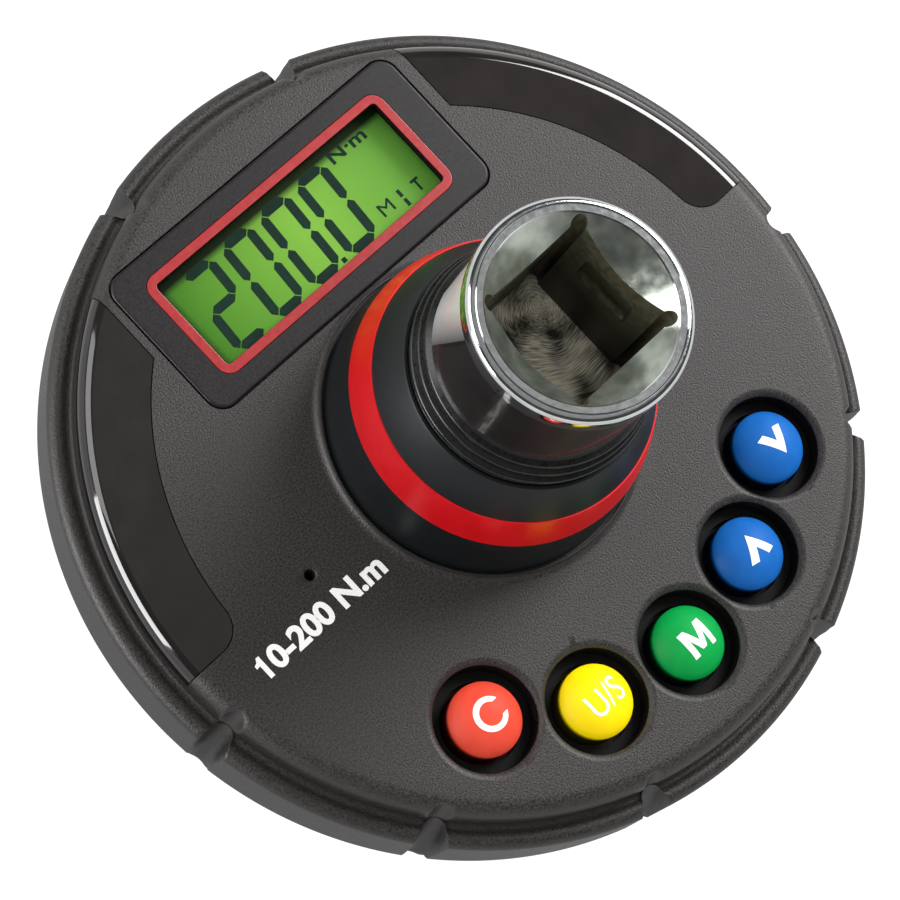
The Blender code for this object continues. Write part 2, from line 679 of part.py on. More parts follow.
def window_plan(side, grow):
    """A window's plan outline: flat end, round inner corner, inner arc and the bezel's side."""
    inner = WINDOW_INNER - grow
    end_y = WINDOW_END_Y - grow
    edge_x = WINDOW_SIDE - grow
    far = HOUSING_RADIUS + CUT_OVER
    corner = WINDOW_CORNER + grow
    centre_y = end_y + corner
    centre_x = math.sqrt((inner + corner) ** 2 - centre_y ** 2)
    meet = math.degrees(math.atan2(centre_y, centre_x))
    top = math.degrees(math.acos(edge_x / inner))
    points = [(far, end_y)]
    points += arc((centre_x, centre_y), corner, 270, 180 + meet, 4)
    points += arc((0.0, 0.0), inner, meet, top, 8)[1:]
    points += [(edge_x, far), (far, far)]
    if side < 0:
        points = [(-x, y) for x, y in reversed(points)]
    return points


def window_body(name, side, grow, depth, mat=None):
    """The band of the crown that a window fills, cut to the window's plan."""
    over = CUT_OVER if grow > 0 else 0.0
    inner_r = WINDOW_INNER - CUT_OVER
    low = TOP_Z - COVE_START - grow
    outer = [(inner_r, TOP_Z + over)] + crown_outline(-over) + [(SHOULDER_RADIUS + over, low)]
    inner = [(SHOULDER_RADIUS - depth, low)] + crown_outline(depth)[::-1] + [(inner_r, TOP_Z - depth)]
    ring = turned(name, outer + inner, HOUSING_STEPS, mat)
    plan = slab(name + "_plan", window_plan(side, grow), TOP_Z - HOUSING_DEPTH, TOP_Z + 2 * CUT_OVER)
    return combine(ring, plan, "INTERSECT")


def press_flutes(obj, edge, low, high):
    """Cut the grip flutes, which lean in a little as they rise, into an edge of that radius."""
    lean = math.tan(math.radians(FLUTE_LEAN))
    axis = edge - FLUTE_DEPTH + FLUTE_RADIUS / math.cos(math.radians(FLUTE_LEAN))
    foot = (axis + (SPLIT_Z - low) * lean, 0.0, low)
    head = (axis + (SPLIT_Z - high) * lean, 0.0, high)
    for angle in FLUTE_ANGLES:
        cutter = rod("flute_cut", FLUTE_RADIUS, foot, head, SMALL_STEPS)
        cutter.rotation_euler = (0.0, 0.0, math.radians(angle))
        cut(obj, cutter)


def make_top_cover():
    bore = NECK_RADIUS + SLIP_GAP
    rim_in = COLLAR_RADIUS + SLIP_GAP
    rim_out = rim_in + RIM_WIDTH
    cove_centre = (SHOULDER_RADIUS + COVE_ROUND, TOP_Z - COVE_START)
    lip_top = TOP_Z - COVE_START - COVE_ROUND
    under = TOP_Z - WALL
    outer = [(bore, TOP_Z), (rim_in, TOP_Z), (rim_in, TOP_Z + RIM_HEIGHT),
             (rim_in + RIM_WIDTH * 0.3, TOP_Z + RIM_HEIGHT),
             (rim_in + RIM_WIDTH * 0.6, TOP_Z + RIM_HEIGHT * 0.4), (rim_out, TOP_Z)]
    outer += crown_outline(0.0)
    outer += arc(cove_centre, COVE_ROUND, 180, 270, 3)
    outer += [(HOUSING_RADIUS, lip_top - LIP_EDGE), (HOUSING_RADIUS, SPLIT_Z + LIP_EDGE),
              (HOUSING_RADIUS - LIP_EDGE, SPLIT_Z)]
    hub_edge = rim_in - HUB_WALL / 2
    inner = [(SKIRT_RADIUS, SPLIT_Z), (SKIRT_RADIUS, under - WALL / 2),
             (SKIRT_RADIUS - WALL / 2, under),
             (hub_edge, under), (hub_edge, TOP_Z - HUB_WALL), (bore, TOP_Z - HUB_WALL)]
    cover = turned("top_cover", outer + inner, HOUSING_STEPS, HOUSING)
    tube_low = TOP_Z - WELL_DEPTH - WELL_FLOOR - WALL
    root = TOP_Z - WALL / 2
    places = [polar(BUTTON_CIRCLE, a) for a in button_angles()]
    for place in places:
        add(cover, cylinder("well_tube", WELL_RADIUS + WELL_TUBE, tube_low, root, SMALL_STEPS,
                            at=place))
    boss_low = TOP_Z - WALL - BOSS_LENGTH
    bosses = [polar(SCREW_CIRCLE, angle) for angle in SCREW_ANGLES]
    for place in bosses:
        add(cover, cylinder("boss", BOSS_RADIUS, boss_low, root, TINY_STEPS, at=place))
    for place in places:
        cut(cover, well_cutter(place))
    press_flutes(cover, HOUSING_RADIUS, SPLIT_Z - CUT_OVER, TOP_Z + CUT_OVER)
    for side in (1, -1):
        cut(cover, window_body("window_seat_cut", side, SLIP_GAP, WINDOW_THICK + SEAT_GAP))
        cut(cover, light_slot(side))
    at = (DISPLAY_X, DISPLAY_Y)
    seat = (BEZEL_SIZE[0] + 2 * SLIP_GAP, BEZEL_SIZE[1] + 2 * SLIP_GAP, BEZEL_PLATE + CUT_OVER)
    seat_low = TOP_Z + BEZEL_PROUD - BEZEL_PLATE - SEAT_GAP
    cut(cover, block("bezel_seat_cut", seat, seat_low, at=at, corner=BEZEL_CORNER))
    hole = (BEZEL_SIZE[0] - 2 * BEZEL_LEDGE, BEZEL_SIZE[1] - 2 * (BEZEL_LEDGE - WALL / 2), 4 * WALL)
    cut(cover, block("display_hole_cut", hole, TOP_Z - 3 * WALL, at=at))
    cut(cover, cylinder("sound_hole_cut", SOUND_HOLE_RADIUS, TOP_Z - 2 * WALL, TOP_Z + CUT_OVER,
                        TINY_STEPS, at=SOUND_HOLE))
    pilot_end = TOP_Z - WALL - SEAT_GAP
    for place in bosses:
        cut(cover, cylinder("pilot_cut", SCREW_SHANK + SLIP_GAP, boss_low - CUT_OVER, pilot_end,
                            TINY_STEPS, at=place))
    return smooth(cover)


def light_slot(side):
    """A curved slot that lets the status lamps shine into a window."""
    start, end = LIGHT_SLOT_ANGLES
    if side > 0:
        start, end = 180 - end, 180 - start
    outline = arc((0.0, 0.0), LIGHT_SLOT_OUTER, start, end, 6)
    outline += arc((0.0, 0.0), LIGHT_SLOT_INNER, end, start, 6)
    return slab("light_slot_cut", outline, TOP_Z - 2 * WALL, TOP_Z + CUT_OVER)


def make_windows():
    for name, side in (("light_window_right", 1), ("light_window_left", -1)):
        smooth(window_body(name, side, 0.0, WINDOW_THICK, SMOKE))


def make_buttons():
    foot = TOP_Z - WELL_DEPTH - WELL_FLOOR - SEAT_GAP
    edge = TOP_Z - CAP_EDGE_DROP
    rise = CAP_CROWN + CAP_EDGE_DROP
    sphere = (CAP_RADIUS ** 2 + rise ** 2) / (2 * rise)
    flange = WELL_RADIUS - SLIP_GAP
    profile = [(0.0, edge + rise)]
    for i in range(1, 5):
        r = CAP_RADIUS * i / 4
        profile.append((r, edge + rise - sphere + math.sqrt(sphere ** 2 - r ** 2)))
    flange_low = foot - CAP_FLANGE
    profile += [(CAP_RADIUS, foot), (flange, foot), (flange, flange_low), (0.0, flange_low)]
    for name, angle in zip(BUTTON_NAMES, button_angles()):
        place = polar(BUTTON_CIRCLE, angle)
        cap = turned("button_" + name, profile, SMALL_STEPS, CAP_COLOURS[name], at=place)
        smooth(cap)
        make_switch(name, place, flange_low)


def make_switch(name, place, button_foot):
    """A tactile switch: a square body with a round stem under its button."""
    low = BOARD_TOP + SEAT_GAP
    body = block("switch_" + name, (SWITCH_SIZE, SWITCH_SIZE, SWITCH_HEIGHT), low, BLACK, at=place)
    stem_top = button_foot - BUTTON_TRAVEL - SEAT_GAP
    stem = cylinder("switch_stem", SWITCH_STEM, low + SWITCH_HEIGHT / 2, stem_top, TINY_STEPS, at=place)
    add(body, stem)


def make_display():
    at = (DISPLAY_X, DISPLAY_Y)
    plate_top = TOP_Z + BEZEL_PROUD
    plate_low = plate_top - BEZEL_PLATE
    bezel = block("display_bezel", (*BEZEL_SIZE, BEZEL_PLATE), plate_low, BEZEL, at=at,
                  corner=BEZEL_CORNER)
    rebate_low = plate_top - FRAME_THICK - SEAT_GAP
    rebate = (FRAME_SIZE[0] + 2 * SLIP_GAP, FRAME_SIZE[1] + 2 * SLIP_GAP, FRAME_THICK + CUT_OVER)
    cut(bezel, block("rebate_cut", rebate, rebate_low, at=at, corner=FRAME_CORNER))
    cut(bezel, block("view_cut", (*VIEW_SIZE, 4 * BEZEL_PLATE), plate_low - BEZEL_PLATE, at=at))
    frame = block("display_frame", (*FRAME_SIZE, FRAME_THICK), plate_top - FRAME_THICK, RED, at=at,
                  corner=FRAME_CORNER)
    cut(frame, block("frame_cut", (*VIEW_SIZE, 4 * FRAME_THICK), plate_top - 2 * FRAME_THICK, at=at))
    pane = (VIEW_SIZE[0] + 2 * LENS_MARGIN, VIEW_SIZE[1] + 2 * LENS_MARGIN)
    lens_low = plate_low - SEAT_GAP - LENS_THICK
    block("display_lens", (*pane, LENS_THICK), lens_low, CLEAR, at=at, corner=LENS_MARGIN / 2)
    lcd_low = lens_low - SEAT_GAP - LCD_THICK
    block("lcd_panel", (*pane, LCD_THICK), lcd_low, LCD, at=at)
    gap = STRIP_WIDTH + SLIP_GAP
    light_low = lcd_low - SEAT_GAP - BACKLIGHT_THICK
    block("lcd_backlight", (pane[0], pane[1] - 2 * gap, BACKLIGHT_THICK), light_low, DIFFUSER, at=at,
          corner=LENS_MARGIN / 2)
    strip_low = BOARD_TOP + SEAT_GAP
    strip = (pane[0] - 2 * STRIP_WIDTH, STRIP_WIDTH, lcd_low - SEAT_GAP - strip_low)
    for name, side in (("lcd_strip_rear", 1), ("lcd_strip_front", -1)):
        place = (at[0], at[1] + side * (pane[1] - STRIP_WIDTH) / 2)
        block(name, strip, strip_low, SEAL, at=place)


def make_board():
    board = cylinder("main_board", BOARD_RADIUS, BOARD_LOW, BOARD_TOP, HOUSING_STEPS, BOARD)
    under = BOARD_LOW - CUT_OVER
    over = BOARD_TOP + CUT_OVER
    cut(board, cylinder("board_bore_cut", BOARD_BORE, under, over, COLLAR_STEPS))
    for angle in SCREW_ANGLES:
        cut(board, cylinder("boss_hole_cut", BOSS_RADIUS + SLIP_GAP, under, over, TINY_STEPS,
                            at=polar(SCREW_CIRCLE, angle)))
    low = BOARD_TOP + SEAT_GAP
    block("controller_chip", CHIP_SIZE, low, BLACK, at=CHIP_PLACE, corner=CHIP_CORNER)
    block("angle_sensor", SENSOR_SIZE, low, BLACK, at=SENSOR_PLACE, corner=CHIP_CORNER)
    cylinder("buzzer", BUZZER_RADIUS, low, low + BUZZER_HEIGHT, SMALL_STEPS, BLACK, at=SOUND_HOLE)
    for i, angle in enumerate(LED_ANGLES, 1):
        block("status_led_%d" % i, LED_SIZE, low, LED, at=polar(LED_CIRCLE, angle),
              corner=CHIP_CORNER, turn=angle)


def make_hub():
    """The sleeve under the collar, pinned to the shaft, and the strain gauges below it."""
    inner = NECK_RADIUS + SLIP_GAP
    low = TOP_Z + SEAT_GAP
    outer = inner + HUB_THICK
    profile = [(inner, low), (outer, low), (outer, low + HUB_HEIGHT - HUB_THICK / 4),
               (outer - HUB_THICK / 4, low + HUB_HEIGHT), (inner, low + HUB_HEIGHT)]
    hub = turned("hub_sleeve", profile, COLLAR_STEPS, STEEL)
    pin_z = TOP_Z + HUB_HEIGHT / 2
    cut(hub, rod("hub_cross_cut", HUB_PIN_RADIUS + SLIP_GAP, (0.0, -2 * outer, pin_z),
                 (0.0, 2 * outer, pin_z), TINY_STEPS))
    for i, side in enumerate((1, -1), 1):
        tip = (0.0, side * (NECK_RADIUS - HUB_PIN_BITE), pin_z)
        head = (0.0, side * (outer - SEAT_GAP), pin_z)
        rod("hub_pin_%d" % i, HUB_PIN_RADIUS, tip, head, TINY_STEPS, STEEL)
    pad_low = (GAUGE_LOW + GAUGE_HIGH - GAUGE_PAD[2]) / 2
    for name, side in (("strain_gauge_rear", 1), ("strain_gauge_front", -1)):
        y = side * (GAUGE_FLAT + SEAT_GAP + GAUGE_PAD[1] / 2)
        block(name, GAUGE_PAD, pad_low, GOLD, at=(0.0, y))


def make_bottom_cover():
    """The base shell: side, spigot inside the skirt, screw posts and the cell's opening."""
    top = SPLIT_Z - GASKET_THICK - 2 * SEAT_GAP
    spigot_out = SKIRT_RADIUS - SLIP_GAP
    spigot_top = BOARD_LOW - SEAT_GAP
    inner_wall = spigot_out - SPIGOT_WALL
    outer = [(spigot_out, spigot_top), (spigot_out, top), (BASE_EDGE_RADIUS, top),
             (BASE_EDGE_RADIUS, top - BASE_SIDE), (BASE_FLAT_RADIUS, BASE_Z), (SEAL_BORE, BASE_Z),
             (SEAL_BORE, BASE_Z + WALL)]
    lip_top = FLOOR_Z + BORE_LIP
    inner = [(SHAFT_BORE, BASE_Z + WALL), (SHAFT_BORE, lip_top), (SEAL_BORE + WALL, lip_top),
             (SEAL_BORE + WALL, FLOOR_Z), (inner_wall, FLOOR_Z), (inner_wall, spigot_top)]
    base = turned("bottom_cover", outer + inner, HOUSING_STEPS, HOUSING)
    post_top = TOP_Z - WALL - BOSS_LENGTH - SEAT_GAP
    for angle in SCREW_ANGLES:
        place = polar(SCREW_CIRCLE, angle)
        add(base, cylinder("post", SCREW_HEAD + SLIP_GAP + POST_WALL, BASE_Z + WALL / 2, post_top,
                           TINY_STEPS, at=place))
    cell = (0.0, CELL_Y)
    opening = CELL_NECK + SLIP_GAP
    seat = BASE_Z + COIN_CAP_PLATE + CAP_SEAL_THICK + 2 * SEAT_GAP
    ledge_top = lug_low() - SEAT_GAP
    add(base, cylinder("cell_boss", CELL_NECK + LUG_REACH + WALL, BASE_Z + WALL / 2, ledge_top,
                       CELL_STEPS, at=cell))
    below = BASE_Z - CUT_OVER
    cut(base, cylinder("cell_hole_cut", opening, below, ledge_top + CUT_OVER, CELL_STEPS, at=cell))
    flange_seat = CELL_NECK + COIN_CAP_FLANGE + SLIP_GAP
    cut(base, cylinder("cap_seat_cut", flange_seat, below, seat, CELL_STEPS, at=cell))
    for lug in LUG_ANGLES:
        x, y = polar(CELL_NECK + LUG_REACH / 2, lug - CAP_TURN)
        size = (LUG_REACH + 4 * SLIP_GAP, LUG_WIDTH + 2 * SLIP_GAP, 4 * WALL)
        cut(base, block("lug_entry_cut", size, below, at=(x, CELL_Y + y), turn=lug - CAP_TURN))
    cut(base, cylinder("shaft_bore_cut", SHAFT_BORE, below, FLOOR_Z + 2 * BORE_LIP, SHAFT_STEPS))
    head_seat = BASE_Z + SCREW_SUNK + SCREW_HEAD_HEIGHT + SEAT_GAP
    for angle in SCREW_ANGLES:
        place = polar(SCREW_CIRCLE, angle)
        cut(base, cylinder("head_cut", SCREW_HEAD + SLIP_GAP, below, head_seat, TINY_STEPS, at=place))
        cut(base, cylinder("shank_cut", SCREW_SHANK + SLIP_GAP, BASE_Z, post_top + CUT_OVER,
                           TINY_STEPS, at=place))
    press_flutes(base, BASE_EDGE_RADIUS, below, top + CUT_OVER)
    smooth(base)
    ring = [(spigot_out + SLIP_GAP, SPLIT_Z - SEAT_GAP), (BASE_EDGE_RADIUS, SPLIT_Z - SEAT_GAP),
            (BASE_EDGE_RADIUS, top + SEAT_GAP), (spigot_out + SLIP_GAP, top + SEAT_GAP)]
    gasket = turned("housing_gasket", ring, HOUSING_STEPS, SEAL)
    press_flutes(gasket, BASE_EDGE_RADIUS, top, SPLIT_Z)
    smooth(gasket)


def lug_low():
    """The underside of the cap's lugs, above the ledge of the opening."""
    return FLOOR_Z + WALL / 2 + SEAT_GAP


def make_screws():
    low = BASE_Z + SCREW_SUNK
    neck = low + SCREW_HEAD_HEIGHT
    profile = [(0.0, neck + SCREW_LENGTH), (SCREW_SHANK * 0.6, neck + SCREW_LENGTH),
               (SCREW_SHANK, neck + SCREW_LENGTH - SCREW_SHANK), (SCREW_SHANK, neck), (SCREW_HEAD, neck),
               (SCREW_HEAD, low + SCREW_SHANK / 2), (SCREW_HEAD * 0.7, low), (0.0, low)]
    first = turned("cover_screw_1", profile, TINY_STEPS, STEEL)
    arm = (SCREW_HEAD * 1.3, SCREW_CROSS, SCREW_SHANK * 2)
    for turn in (0, 90):
        cut(first, block("cross_cut", arm, low - SCREW_SHANK, turn=turn))
    smooth(freeze(first))
    for i, angle in enumerate(SCREW_ANGLES, 1):
        screw = first if i == 1 else mesh_object("cover_screw_%d" % i, first.data, STEEL)
        screw.location = (*polar(SCREW_CIRCLE, angle), 0.0)


def make_shaft_fittings():
    groove = JOURNAL_RADIUS - RING_GROOVE
    low = GROOVE_LOW + SLIP_GAP
    bore = groove + SLIP_GAP
    ring = cylinder("retaining_ring", bore + RING_WIDTH, low, low + RING_THICK, COLLAR_STEPS, STEEL)
    cut(ring, cylinder("ring_bore_cut", bore, low - CUT_OVER, low + RING_THICK + CUT_OVER, SHAFT_STEPS))
    mouth = (JOURNAL_RADIUS, RING_MOUTH, RING_THICK + 2 * CUT_OVER)
    cut(ring, block("ring_gap_cut", mouth, low - CUT_OVER, at=(JOURNAL_RADIUS, 0.0)))
    inner = SHAFT_BORE
    outer = inner + LOWER_SEAL_WIDTH
    high = BASE_Z + WALL - SEAT_GAP
    profile = [(inner, BASE_Z + WALL / 4), (outer, BASE_Z + WALL / 4), (outer, high), (inner, high)]
    smooth(turned("lower_seal", profile, SHAFT_STEPS, SEAL))


def make_cell():
    at = (0.0, CELL_Y)
    plate_top = BASE_Z + COIN_CAP_PLATE
    cup_floor = BASE_Z + CAP_FLOOR
    neck_top = plate_top + CAP_NECK_RISE
    flange = CELL_NECK + COIN_CAP_FLANGE
    cup = CELL_NECK - CAP_NECK_WALL
    profile = [(0.0, cup_floor), (cup, cup_floor), (cup, neck_top), (CELL_NECK, neck_top),
               (CELL_NECK, plate_top), (flange, plate_top), (flange, BASE_Z + SEAT_GAP),
               (flange - SEAT_GAP, BASE_Z), (0.0, BASE_Z)]
    cap = turned("battery_cap", profile, CELL_STEPS, HOUSING, at=at)
    low = lug_low()
    for lug in LUG_ANGLES:
        x, y = polar(CELL_NECK + LUG_REACH / 2 - CAP_NECK_WALL / 4, lug)
        size = (LUG_REACH + CAP_NECK_WALL / 2, LUG_WIDTH, LUG_THICK)
        piece = block("lug", size, low, at=(x, CELL_Y + y), turn=lug)
        add(cap, piece)
    slot = (*COIN_SLOT, 2 * COIN_SLOT_DEPTH)
    cut(cap, block("coin_slot_cut", slot, BASE_Z - COIN_SLOT_DEPTH, at=at, turn=45))
    smooth(cap)
    seal_low = plate_top + SEAT_GAP
    seal = [(CELL_NECK + SLIP_GAP, seal_low), (flange, seal_low), (flange, seal_low + CAP_SEAL_THICK),
            (CELL_NECK + SLIP_GAP, seal_low + CAP_SEAL_THICK)]
    smooth(turned("battery_cap_seal", seal, CELL_STEPS, SEAL, at=at))
    cell_low = cup_floor + SEAT_GAP
    edge = CELL_THICK / 8
    cell = [(0.0, cell_low), (CELL_RADIUS - edge, cell_low), (CELL_RADIUS, cell_low + edge),
            (CELL_RADIUS, cell_low + CELL_THICK - edge), (CELL_RADIUS - edge, cell_low + CELL_THICK),
            (0.0, cell_low + CELL_THICK)]
    smooth(turned("coin_cell", cell, SMALL_STEPS, STEEL, at=at))
    tray_low = neck_top + SEAT_GAP
    tray_top = BOARD_LOW - SEAT_GAP
    hollow = CELL_RADIUS + SLIP_GAP
    tray = [(hollow, tray_low), (hollow + TRAY_WALL, tray_low), (hollow + TRAY_WALL, tray_top),
            (hollow - 2 * TRAY_WALL, tray_top), (hollow - 2 * TRAY_WALL, tray_top - TRAY_WALL / 2),
            (hollow, tray_top - TRAY_WALL / 2)]
    smooth(turned("battery_tray", tray, SMALL_STEPS, BLACK, at=at))
    width, thick = CONTACT_STRIP
    cell_top = cell_low + CELL_THICK
    leg = tray_top - cell_top - SEAT_GAP
    for name, x in (("battery_contact_minus", 0.0), ("battery_contact_plus", CELL_RADIUS * 0.6)):
        strip = block(name, (width, 2 * width, thick), cell_top + SEAT_GAP, STEEL, at=(x, CELL_Y))
        add(strip, block("contact_leg", (width, thick, leg), cell_top + SEAT_GAP, at=(x, CELL_Y)))


make_shaft()
make_detent()
make_top_cover()
make_bottom_cover()
make_collar()
make_red_band()
make_neck_seal()
make_windows()
make_display()
make_buttons()
make_board()
make_hub()
make_screws()
make_shaft_fittings()
make_cell()
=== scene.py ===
import math

import bpy
from mathutils import Matrix, Vector


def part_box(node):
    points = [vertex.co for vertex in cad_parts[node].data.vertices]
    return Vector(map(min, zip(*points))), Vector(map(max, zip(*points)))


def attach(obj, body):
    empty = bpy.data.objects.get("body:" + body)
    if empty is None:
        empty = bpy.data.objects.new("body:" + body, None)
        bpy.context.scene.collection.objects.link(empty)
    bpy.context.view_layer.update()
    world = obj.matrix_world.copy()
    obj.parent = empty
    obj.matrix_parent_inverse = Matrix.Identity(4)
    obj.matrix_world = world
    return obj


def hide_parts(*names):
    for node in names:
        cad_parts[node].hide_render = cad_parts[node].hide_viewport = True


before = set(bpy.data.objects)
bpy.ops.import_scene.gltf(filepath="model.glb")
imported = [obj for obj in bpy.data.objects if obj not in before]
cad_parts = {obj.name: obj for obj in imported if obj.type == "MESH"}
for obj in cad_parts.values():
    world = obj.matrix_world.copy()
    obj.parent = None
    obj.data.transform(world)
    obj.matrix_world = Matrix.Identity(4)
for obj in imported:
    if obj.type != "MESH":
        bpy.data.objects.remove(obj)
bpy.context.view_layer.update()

# Studio: a pale floor under the drive tip, light from overhead, from a big softbox at +X and a weaker
# one at +Y. A low softbox behind -X is only seen in reflections, as the glint on the window's bend.
MM = 0.001
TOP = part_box("light_window_left")[1].z
CAMERA_PLACE = (-125.5185 * MM, -9.0718 * MM, 339.1715 * MM)
CAMERA_TURN = (16.1946, -14.6862, -44.7737)
SKY_BANDS = ((0.10, "#ffffff"), (1.0, "#8a8a8a"), (0.38, "#38393b"), (0.84, "#4a4a4b"),
             (0.91, "#949494"))
AMBIENT = (0.30, 1.35)
FLOOR_GLOW = 0.93
FLOOR_MIRRORED = 0.45


def linear(hex_colour):
    """An sRGB hex colour as the linear values that a shader reads."""
    channels = [int(hex_colour[i:i + 2], 16) / 255 for i in (1, 3, 5)]
    return (*[c / 12.92 if c <= 0.04045 else ((c + 0.055) / 1.055) ** 2.4 for c in channels], 1.0)


def add_node(tree, kind, inputs=None, **settings):
    """Adds a shader node: settings go on the node, and inputs are values or links for its sockets."""
    node = tree.nodes.new("ShaderNode" + kind)
    for name, value in settings.items():
        setattr(node, name, value)
    for socket, value in (inputs or {}).items():
        if isinstance(value, bpy.types.NodeSocket):
            tree.links.new(value, node.inputs[socket])
        else:
            node.inputs[socket].default_value = value
    return node


def add_ramp(tree, value, first, last, *between):
    """The colour that a ramp gives a value: each stop is a position and a hex colour."""
    ramp = add_node(tree, "ValToRGB", {0: value})
    stops = ramp.color_ramp.elements
    for stop, (position, colour) in zip(stops, (first, last)):
        stop.position = position
        stop.color = linear(colour)
    for position, colour in between:
        stops.new(position).color = linear(colour)
    return ramp.outputs["Color"]


def pick(piece):
    """Selects one piece alone, ready for an operator."""
    bpy.ops.object.select_all(action="DESELECT")
    piece.select_set(True)
    bpy.context.view_layer.objects.active = piece


def soft_light(name, place, size, power, glossy_only=False):
    """A softbox at a place, aimed at the middle of the housing's top.

    One that is glossy only shows in reflections and lights no matt surface."""
    lamp = bpy.data.lights.new(name, "AREA")
    lamp.shape = "RECTANGLE"
    lamp.size, lamp.size_y = size
    lamp.energy = power
    box = bpy.data.objects.new(name, lamp)
    box.location = place
    aim = Vector((0.0, 0.0, TOP)) - Vector(place)
    box.rotation_euler = aim.to_track_quat("-Z", "Y").to_euler()
    box.visible_diffuse = not glossy_only
    bpy.context.scene.collection.objects.link(box)


def seen_directly(tree):
    """One for camera, glossy and transmission rays and zero for others, with the rays' own node."""
    path = add_node(tree, "LightPath")
    some = add_node(tree, "Math", {0: path.outputs["Is Camera Ray"], 1: path.outputs["Is Glossy Ray"]},
                    operation="ADD", use_clamp=True)
    return add_node(tree, "Math", {0: some.outputs[0], 1: path.outputs["Is Transmission Ray"]},
                    operation="ADD", use_clamp=True).outputs[0], path


camera = bpy.data.objects.new("camera", bpy.data.cameras.new("camera"))
camera.location = CAMERA_PLACE
camera.rotation_euler = [math.radians(turn) for turn in CAMERA_TURN]
camera.data.lens = 128
camera.data.sensor_width = 36
bpy.context.scene.collection.objects.link(camera)
bpy.context.scene.camera = camera
bpy.context.scene.view_settings.view_transform = "Standard"

soft_light("key_light", (0.49, 0.02, 0.45), (0.30, 0.30), 4.0)
soft_light("side_light", (-0.25, 0.38, 0.36), (0.30, 0.30), 1.0)
soft_light("glint_light", (-0.45, 0.21, 0.125), (0.28, 0.24), 2.4, glossy_only=True)

world = bpy.data.worlds.new("studio")
world.use_nodes = True
sky = world.node_tree
sky.nodes.clear()
direct, rays = seen_directly(sky)
direction = add_node(sky, "SeparateXYZ", {0: add_node(sky, "TexCoord").outputs["Generated"]})
bands = add_ramp(sky, direction.outputs["Z"], *SKY_BANDS)
mirrored = add_node(sky, "Background", {"Color": bands, "Strength": 1.0})
backdrop = add_node(sky, "Background", {"Color": linear("#ffffff"), "Strength": 1.0})
overhead = add_node(sky, "MapRange", {0: direction.outputs["Z"], 3: AMBIENT[0], 4: AMBIENT[1]})
ambient = add_node(sky, "Background", {"Color": linear("#ffffff"), "Strength": overhead.outputs[0]})
seen = add_node(sky, "MixShader", {0: rays.outputs["Is Glossy Ray"], 1: backdrop.outputs[0],
                                   2: mirrored.outputs[0]})
all_rays = add_node(sky, "MixShader", {0: direct, 1: ambient.outputs[0], 2: seen.outputs[0]})
add_node(sky, "OutputWorld", {"Surface": all_rays.outputs[0]})
bpy.context.scene.world = world

bpy.ops.object.select_all(action="DESELECT")
bpy.ops.mesh.primitive_plane_add(size=4.0)
floor = bpy.context.object
floor.name = "floor"
paper = bpy.data.materials.new("white_paper_sweep")
paper.use_nodes = True
sheet = paper.node_tree
sheet.nodes.clear()
direct, rays = seen_directly(sheet)
lit = add_node(sheet, "BsdfDiffuse", {"Color": linear("#7c7c7c")})
brightness = add_node(sheet, "MapRange", {0: rays.outputs["Is Glossy Ray"], 3: FLOOR_GLOW,
                                          4: FLOOR_MIRRORED})
glow = add_node(sheet, "Emission", {"Color": linear("#ffffff"), "Strength": brightness.outputs[0]})
glow_seen = add_node(sheet, "MixShader", {0: direct, 2: glow.outputs[0]})
both = add_node(sheet, "AddShader", {0: lit.outputs[0], 1: glow_seen.outputs[0]})
add_node(sheet, "OutputMaterial", {"Surface": both.outputs[0]})
floor.data.materials.append(paper)

# Base cover: the lower shell of the housing, moulded in grained dark grey ABS. Its rim carries
# the same grip flutes as the top cover. Four screws and the coin cell's cap sit sunk in its face.
RIM_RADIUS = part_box("top_cover")[1].x
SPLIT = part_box("top_cover")[0].z - TOP
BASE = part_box("bottom_cover")[0].z - TOP
BASE_RIM = RIM_RADIUS - 0.8 * MM
BASE_TOP = SPLIT - 1.2 * MM
SKIRT_RADIUS = RIM_RADIUS - 4.6 * MM
SEAL_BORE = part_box("lower_seal")[1].x + 0.3 * MM
SHAFT_BORE = SEAL_BORE - 1.6 * MM
WALL = 2.0 * MM
RIM_STEPS = 720
FLUTES = (74, 106, -8, -40, -72, -108, -140, -172)
FLUTE_RADIUS = 1.2 * MM
FLUTE_DEPTH = 0.95 * MM
FLUTE_LEAN = math.radians(13.5)
FLUTE_BLEND = 0.50 * MM
FLUTE_SPREAD = math.radians(4.2)
FLUTE_INNER = SKIRT_RADIUS + 0.05 * MM
WALL_PLACE = 0.975
WALL_SLOPE = WALL_PLACE / math.sqrt(1 - WALL_PLACE ** 2)
SCREW_CIRCLE = RIM_RADIUS - 11.0 * MM
SCREW_ANGLES = (25, 155, -155, -25)
SCREW_HEAD = 2.9 * MM
CELL_PLACE = tuple((a + b) / 2 for a, b in zip(*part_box("battery_cap")))[:2]
CELL_FLANGE = (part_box("battery_cap")[1].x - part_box("battery_cap")[0].x) / 2
NOISE_SPAN = (0.3, 0.7)


def rounded(corners, steps=6):
    """A line through corners of (x, y) or (x, y, radius), rounded where they have a radius."""
    points = []
    for i, (x, y, *radii) in enumerate(corners):
        if not radii:
            points.append((x, y))
            continue
        here = Vector((x, y))
        radius = radii[0]
        back = (Vector(corners[i - 1][:2]) - here).normalized()
        ahead = (Vector(corners[(i + 1) % len(corners)][:2]) - here).normalized()
        half = back.angle(ahead) / 2
        centre = here + (back + ahead).normalized() * radius / math.sin(half)
        first = here + back * radius / math.tan(half) - centre
        last = here + ahead * radius / math.tan(half) - centre
        for k in range(steps + 1):
            points.append(tuple(centre + first.slerp(last, k / steps) * radius))
    return points


def named(name):
    """The piece that an operator has just added, under its name."""
    piece = bpy.context.object
    piece.name = piece.data.name = name
    return piece


